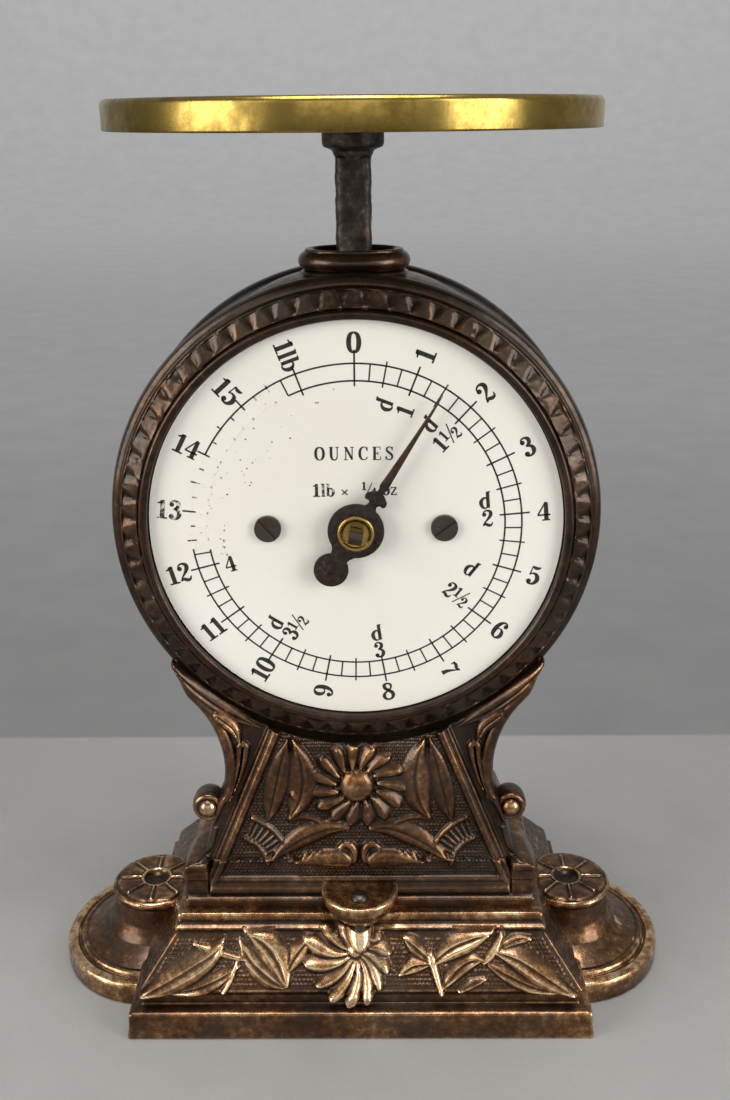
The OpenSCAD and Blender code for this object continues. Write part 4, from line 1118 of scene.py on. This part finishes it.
def printed(shape, outline, wear, dot=False):
    """Gives an outline on the dial the thickness of fired ink, just proud of the enamel."""
    count = len(outline)
    front = np.column_stack((outline[:, 0], np.full(count, DIAL_FRONT - INK_T), outline[:, 1] + DIAL_Z))
    back = front + (0, INK_T + INK_SUNK, 0)
    faces = [(i, (i + 1) % count, count + (i + 1) % count, count + i) for i in range(count)]
    for first in (0, count):
        faces += [list(range(first, first + count))] if dot else strip_faces(count, first)
    shape.add(np.concatenate((front, back)), faces, wear)


def ribbon(shape, table, place, wear):
    """One inked stroke: a flat ribbon of changing width, or a round dot."""
    table = np.asarray(table, float)
    if len(table) == 1:
        x, h, t = table[0]
        turn = np.linspace(0, 2 * np.pi, 17)[:-1]
        outline = np.column_stack((x + t / 2 * np.cos(turn), h + t / 2 * np.sin(turn)))
    else:
        line = curve(table, 5) if len(table) > 2 else table
        way = np.gradient(line[:, :2], axis=0)
        way /= np.linalg.norm(way, axis=1)[:, None] + 1e-9
        side = np.column_stack((-way[:, 1], way[:, 0])) * line[:, 2:3] / 2
        outline = np.concatenate((line[:, :2] + side, (line[:, :2] - side)[::-1]))
    printed(shape, place(outline), wear, dot=len(table) == 1)


def at_angle(clock_deg, radius, turn_deg, size, width):
    """Places a figure so that its middle is on the dial, turned anticlockwise by an angle."""
    a, t = math.radians(clock_deg), math.radians(turn_deg)
    cx, cz = radius * math.sin(a), radius * math.cos(a)

    def place(points):
        u, v = (points[:, 0] - width / 2) * size, (points[:, 1] - 0.5) * size
        return np.column_stack((cx + u * math.cos(t) - v * math.sin(t),
                                cz + u * math.sin(t) + v * math.cos(t)))
    return place


def inked(shape, text, clock_deg, radius, turn_deg, size, wear=0.0, spacing=1.0, broad=1.1, bold=1.25):
    """Prints a run of figures centred on a place on the dial."""
    total = sum(ADVANCE.get(c, 0.66) * spacing for c in text) * broad
    place = at_angle(clock_deg, radius, turn_deg, size, total)
    x = 0.0
    for c in text:
        for stroke in FIGURES.get(c, []):
            ribbon(shape, [((px + x) * broad, h, t * bold) for px, h, t in stroke], place, wear)
        x += ADVANCE.get(c, 0.66) * spacing


def arc_ribbon(shape, radius, start, end, width, wear):
    """Prints a curved line of the scale between two clock angles."""
    steps = max(2, int(abs(end - start) / 1.2))
    t = np.radians(np.linspace(start, end, steps + 1))
    inner = np.column_stack(((radius - width / 2) * np.sin(t), (radius - width / 2) * np.cos(t)))
    outer = np.column_stack(((radius + width / 2) * np.sin(t), (radius + width / 2) * np.cos(t)))
    printed(shape, np.concatenate((outer, inner[::-1])), wear)


def tick(shape, clock_deg, r0, r1, width, wear=0.0):
    """Prints one radial line of the scale."""
    a = math.radians(clock_deg)

    def place(p):
        return np.column_stack((p[:, 1] * math.sin(a) + p[:, 0] * math.cos(a),
                                p[:, 1] * math.cos(a) - p[:, 0] * math.sin(a)))

    ribbon(shape, [(0, r0, width), (0, r1, width)], place, wear)


def dial_print():
    """The scale, its figures and the capacity line, worn where hands have rubbed the dial."""
    shape = Shape()
    worn_in, worn_out = (12.3, 15.75), (12.35, 14.0)
    for radius, wear_and_light in ((RING_IN, worn_in), (RING_OUT, worn_out)):
        arc_ribbon(shape, radius, (wear_and_light[1] - 16) * OUNCE_DEG - 20, wear_and_light[0] * OUNCE_DEG, 0.42, 0)
        arc_ribbon(shape, radius, wear_and_light[0] * OUNCE_DEG, wear_and_light[1] * OUNCE_DEG, 0.3,
                   0.93 if radius == RING_IN else 0.8)
    for k in range(64):
        ounces = k / 4
        angle = ounces * OUNCE_DEG
        wear = 0.95 if worn_in[0] < ounces < worn_in[1] else 0.0
        low, high = RING_IN, RING_OUT
        if k % 4 == 0:
            low, high = RING_IN - 1.3, RING_OUT + (3.2 if k == 0 else 2.0)
        elif k % 2 == 0:
            low, high = RING_IN - 1.1, RING_OUT + 1.1
        width = 0.42 if k % 4 == 0 else 0.36
        if wear:
            tick(shape, angle, low, RING_OUT - 1.6, width, wear)
            tick(shape, angle, RING_OUT - 1.2, high, width, 0.2 if k % 4 == 0 else 0.55)
        else:
            tick(shape, angle, low, high, width)
    tick(shape, 16 * OUNCE_DEG, RING_IN - 1.3, RING_OUT + 2.0, 0.42, 0.1)
    turns = {0: 0, 8: 8}
    for n in range(16):
        clock = n * OUNCE_DEG
        turn = turns.get(n, 90 - clock if n < 8 else 270 - clock)
        wear = 0.5 if n == 13 else 0.12 if n in (14, 15) else 0.0
        inked(shape, str(n), clock, NUMERAL_R + (0.5 if n in (3, 4, 5, 12, 13) else 0), turn, 4.9, wear,
              0.94 if n > 9 else 1)
    inked(shape, "1lb", 16 * OUNCE_DEG, NUMERAL_R, -70, 4.6, 0.1, 0.94)
    prices = ((1, "1", 12.6, 31.6, 22.0, 31.4, 69), (2, "1/2", 34.2, 31.4, 43.8, 31.0, 47.5),
              (4, "2", 77.6, 32.2, 86.0, 32.2, 5), (6, "2/2", 110.8, 30.6, 125.5, 30.4, 322.5),
              (8, "3", 169.9, 28.6, 170.3, 33.4, 8), (10, "3/2", 219.5, 32.6, 210.8, 31.0, 57.5),
              (12, "4", 261.0, 33.2, 253.5, 32.6, 15))
    for ounces, cost, d_at, d_r, n_at, n_r, turn in prices:
        worn_d = 0.75 if ounces == 12 else 0.0
        inked(shape, "d", d_at, d_r, turn, 4.4, worn_d)
        whole, _, half = cost.partition("/")
        if half:
            for text, shift, up, size in ((whole, -1.9, 0, 4.1), ("1", 0.2, 0.75, 2.8), ("/", 1.35, 0, 4.6),
                                          ("2", 2.8, -0.9, 2.9)):
                a, t = math.radians(n_at), math.radians(turn)
                cx = n_r * math.sin(a) + shift * math.cos(t) - up * math.sin(t)
                cz = n_r * math.cos(a) + shift * math.sin(t) + up * math.cos(t)
                inked(shape, text, math.degrees(math.atan2(cx, cz)), math.hypot(cx, cz), turn, size)
        else:
            inked(shape, whole, n_at, n_r, turn, 4.2)
    inked(shape, "OUNCES", 0, 18.8, 0, 3.3, 0.05, 1.22)
    inked(shape, "1lb x", -32, 11.4, 0, 3.3, 0.45, 1.0)
    for text, x, z, size in (("1", 2.0, 10.7, 2.1), ("/", 3.0, 9.8, 3.3), ("4", 4.4, 9.2, 2.1)):
        inked(shape, text, math.degrees(math.atan2(x, z)), math.hypot(x, z), 0, size, 0.1)
    inked(shape, "oz", math.degrees(math.atan2(8.3, 9.9)), math.hypot(8.3, 9.9), 0, 3.2, 0.1)
    for _ in range(46):
        clock, radius = RANDOM.uniform(262, 352), RANDOM.uniform(27, 41)
        a = math.radians(clock)
        x, z, size = radius * math.sin(a), radius * math.cos(a), RANDOM.uniform(0.12, 0.42)
        ribbon(shape, [(x, z, size)], lambda p: p, 0.45)
    return make_shape("dial_print", shape, "case", "enamel_dial")


# ---------- pointer ----------

def pointer_outline():
    """The pointer pointing up: tapering needle, barbed cross-piece, ring, waist and counterweight."""
    right = [(0.0, 39.3), (0.22, 36.5), (0.55, 26), (0.95, 16), (1.15, 12.9)]
    right += [(0.75, 12.0), (0.85, 11.3), (1.6, 10.9), (2.75, 9.9), (2.9, 9.0), (2.5, 8.4), (1.5, 8.5),
              (1.05, 7.9),
              (1.3, 7.1)]
    ring = arc(0, 0, 6.9, 76, -62, 18)
    tail = arc(0, -11.8, 4.3, 58, -90, 14)
    half = np.concatenate((right, ring, [(2.5, -7.2)], tail))
    return np.concatenate((half, (half * (-1, 1))[::-1][1:-1]))


def pointer_plate():
    """The blackened pointer, its worn edges rounded."""
    outline = pointer_outline()
    angle = math.radians(NEEDLE_DEG)
    turned = np.column_stack((outline[:, 0] * math.cos(angle) + outline[:, 1] * math.sin(angle),
                              -outline[:, 0] * math.sin(angle) + outline[:, 1] * math.cos(angle)))
    verts, faces = extruded(turned, -21.15, -20.3, 0.16, DIAL_Z)
    return make("pointer_plate", verts, faces, "pointer", "pointer_blued", 40, np.full(len(verts), 0.5),
                stands_for=("pointer",))


def collet():
    """The brass collet on the arbor, with a raised rim."""
    profile = rounded([(1.3, -18.6), (2.0, -18.6), (2.0, -21.1), (4.45, -21.1), (4.5, -22.6), (4.3, -23.05),
                       (3.75, -23.1), (3.45, -22.75), (3.1, -22.6), (1.3, -22.6)], 0.18)
    verts, faces = lathe(profile, 72, closed=True)
    return make("collet", along_y(verts), faces, "pointer", "collet_brass", 40, np.full(len(verts), 0.5),
                stands_for=("pointer_collet",))


# ---------- pan, stem and springs ----------

def pan_dish():
    """The brass pan: a flat disc with a deep turned-down rim."""
    low = PAN_TOP - PAN_RIM_H
    profile = rounded([(0, PAN_TOP - 1.2), (55.2, PAN_TOP - 1.2), (55.9, PAN_TOP - 2.2), (55.9, low + 0.1),
                       (56.3, low),
                       (PAN_R, low + 0.1), (PAN_R, PAN_TOP - 0.9), (56.3, PAN_TOP), (0, PAN_TOP)], 0.6, 5)
    profile[0, 0] = profile[-1, 0] = 0
    steps = np.linspace(54, 2, 14)
    flat = [(r, PAN_TOP - 0.12 * (1 - (r / 55) ** 2)) for r in steps]
    profile = np.concatenate((profile[:-1], flat, [(0, PAN_TOP - 0.12)]))
    verts, faces = lathe(profile, 256)
    return make("pan_dish", verts, faces, "pan", "pan_brass", 40, np.full(len(verts), 0.5),
                stands_for=("pan",))


def stem_post():
    """The rough iron stem: a square bar with softened corners under a turned cup."""
    segments = 72
    a = np.linspace(0, 2 * np.pi, segments, endpoint=False)
    power = 5.0
    unit = (np.abs(np.cos(a)) ** power + np.abs(np.sin(a)) ** power) ** (-1 / power)
    rows = [(r, z, 0.0) for r, z in ((0.01, 173), (2.1, 173), (2.2, 173.4), (2.2, 182.8))]
    rows += [(STEM_HALF, z, 1.0) for z in np.linspace(183, 223.2, 60)]
    cup = rounded([(4.3, 223.4), (4.6, 223.9), (4.9, 224.8), (6.0, 225.3), (7.0, 225.6), (7.3, 226.6),
                   (7.25, 229.0),
                   (6.6, 229.8), (6.6, PAN_TOP - 2.8), (0.01, PAN_TOP - 2.8)], 0.6)
    rows += [(r, z, 0.0) for r, z in cup]
    verts, tone = [], []
    for r, z, square in rows:
        radius = r * (unit if square else np.ones(segments))
        ripple = 0.10 * np.sin(z * 0.9 + 2 * np.sin(a)) + 0.06 * RANDOM.standard_normal(segments)
        radius = radius + square * ripple * 0.8
        verts.append(np.column_stack((radius * np.cos(a), radius * np.sin(a), np.full(segments, z))))
        tone.append(np.full(segments, 0.5 + 0.2 * square))
    return make("stem_post", np.concatenate(verts), tube_faces(len(rows), segments), "carriage", "stem_iron",
                45,
                np.concatenate(tone), stands_for=("stem",))


def coil_springs():
    """The two extension springs between the fixed crossbar and the carriage."""
    top, low = 155.3, 106.2
    for name, x in (("left", -12.0), ("right", 12.0)):
        turns, per_turn, wire, radius = 22, 20, 0.42, 3.4
        steps = turns * per_turn
        t = np.linspace(0, turns * 2 * np.pi, steps + 1)
        z = low + wire + (top - low - 2 * wire) * np.linspace(0, 1, steps + 1)
        centre = np.column_stack((x + radius * np.cos(t), MECH_Y + radius * np.sin(t), z))
        ring = np.linspace(0, 2 * np.pi, 9)[:-1]
        out = np.column_stack((np.cos(t), np.sin(t), np.zeros(len(t))))
        up = np.array([0, 0, 1])
        verts = np.concatenate([c + wire * (np.cos(ring)[:, None] * o + np.sin(ring)[:, None] * up)
                                for c, o in zip(centre, out)])
        faces = tube_faces(steps + 1, len(ring))
        spring = make(name + "_coil", verts, faces, None, "spring_steel", 60, np.full(len(verts), 0.5))
        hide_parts(name + "_spring")
        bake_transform(spring)


# ---------- stage ----------

def stage():
    """A seamless pale floor, darker beyond the front sheet."""
    profile = np.concatenate(([(0, 0), (1600, 0)], arc(2200, 1300, 1300, -90, 0, 16), [(3500, 2600)]))
    verts, faces = lathe(profile, 96)
    mesh = bpy.data.meshes.new("floor")
    mesh.from_pydata((verts * MM).tolist(), [], faces)
    mesh.shade_smooth()
    floor = bpy.data.objects.new("floor", mesh)
    bpy.context.scene.collection.objects.link(floor)
    m = Nodes("floor")
    away = m.along("Y")
    reach = m.distance((0, 0, 0))
    beyond = m.ramp(m.times(away, 4.0), [(0.490, 0.0), (0.494, 1.0)])
    outer = m.math("MAXIMUM", m.ramp(m.times(reach, 0.5), [(0.3, 0.0), (0.6, 1.0)]), beyond)
    near = m.ramp(m.noise(24, 5, 0.6), [(0.3, (0.272, 0.264, 0.255)), (0.7, (0.308, 0.299, 0.289))])
    # The floor is painted darker further from the middle, a painted falloff of light.
    near = m.mix(m.ramp(reach, [(0.10, 0.0), (0.26, 1.0)]), near, (0.215, 0.203, 0.196))
    # Beyond the front sheet and far out the colour is dark and the surface glows instead: painted light
    # standing in for the lit backdrop, brighter further back.
    cloud = m.noise(26.0, 5, 0.6)
    glow = m.ramp(cloud, [(0.3, (0.112, 0.114, 0.111)), (0.7, (0.132, 0.134, 0.130))])
    bright = m.ramp(cloud, [(0.3, (0.400, 0.402, 0.400)), (0.7, (0.436, 0.438, 0.436))])
    far = m.ramp(m.times(away, 0.3), [(0.06, 0.0), (0.21, 0.31), (0.8, 0.78), (1.0, 1.0)])
    glow = m.mix(far, glow, bright)
    m.link(Base_Color=m.mix(outer, near, (0.06, 0.06, 0.06)), Emission_Color=m.mix(outer, (0, 0, 0), glow),
           Normal=m.bump(m.noise(420, 4, 0.7), 0.25, 0.5))
    mesh.materials.append(m.set(Roughness=0.85, Emission_Strength=1.0).material)


def soft_light(name, place, aim, size, power, colour=(1, 1, 1)):
    """A rectangular soft light that the camera doesn't see."""
    light = bpy.data.lights.new(name, "AREA")
    light.shape = "RECTANGLE"
    light.size, light.size_y = size
    light.energy = power
    light.color = colour
    obj = bpy.data.objects.new(name, light)
    obj.location = place
    obj.rotation_euler = (Vector(aim) - Vector(place)).to_track_quat("-Z", "Y").to_euler()
    obj.visible_camera = False
    bpy.context.scene.collection.objects.link(obj)


def lights():
    """Soft daylight from windows on both sides of the reader and a broad top light."""
    soft_light("left_window", (-0.95, -0.56, 0.45), (0, 0, 0.16), (0.68, 0.9), 11.0, (1.0, 0.98, 0.94))
    soft_light("right_window", (0.92, -0.58, 0.45), (0, 0, 0.16), (0.56, 0.9), 9.5, (1.0, 0.99, 0.97))
    soft_light("ceiling", (0.0, -0.15, 1.3), (0, 0, 0.1), (0.85, 0.5), 11.0)
    soft_light("front_fill", (0.1, -1.5, 0.65), (0, 0, 0.12), (1.6, 0.9), 4.0, (1.0, 0.96, 0.90))
    world = bpy.data.worlds.new("world")
    world.use_nodes = True
    background = world.node_tree.nodes["Background"]
    background.inputs["Color"].default_value = (0.82, 0.85, 0.88, 1)
    background.inputs["Strength"].default_value = 0.36
    bpy.context.scene.world = world


def camera():
    """A camera in front, a little above the pan, looking down at the dial."""
    eye = Vector((0.0045, -0.288, 0.233))
    down, turn, roll = math.radians(20.5), math.radians(-0.5), math.radians(0.5)
    forward = Vector((math.sin(turn) * math.cos(down), math.cos(turn) * math.cos(down), -math.sin(down)))
    right = Vector((math.cos(turn), -math.sin(turn), 0))
    up = right.cross(forward)
    right_r = right * math.cos(roll) - up * math.sin(roll)
    up_r = up * math.cos(roll) + right * math.sin(roll)
    data = bpy.data.cameras.new("camera")
    data.lens, data.sensor_width = 38.29, 36.0
    data.clip_start = 0.01
    obj = bpy.data.objects.new("camera", data)
    obj.matrix_world = Matrix((
        (right_r.x, up_r.x, -forward.x, eye.x), (right_r.y, up_r.y, -forward.y, eye.y),
        (right_r.z, up_r.z, -forward.z, eye.z), (0, 0, 0, 1)))
    bpy.context.scene.collection.objects.link(obj)
    bpy.context.scene.camera = obj
    bpy.context.scene.view_settings.view_transform = "Standard"


# ---------- the object ----------

def finish_cad_nodes():
    """Gives each CAD part the material of its slot."""
    slots = {part["node"]: part["material_slot"] for part in frame["record"]["subparts"]}
    for name, node in frame["nodes"].items():
        slot = slots[name]
        node.data.materials.clear()
        node.data.materials.append(MATERIALS[slot])


finish_cad_nodes()
shell = drum_shell()
neck_collar()
pedestal()
volutes()
side_swell("pedestal_swells", 21.6, 23, 30, 16, 60, -13, 1, BASE_TOP)
side_swell("base_swells", 22, 15, 31, -6, 32, -2, 9, 11.0)
lugs()
base_block()
lobes()
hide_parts("body_casting")
printed = dial_print()
printed.data.materials[0] = MATERIALS["dial_ink"]
pointer_plate()
collet()
pan_dish()
stem_post()
coil_springs()
stage()
lights()
camera()
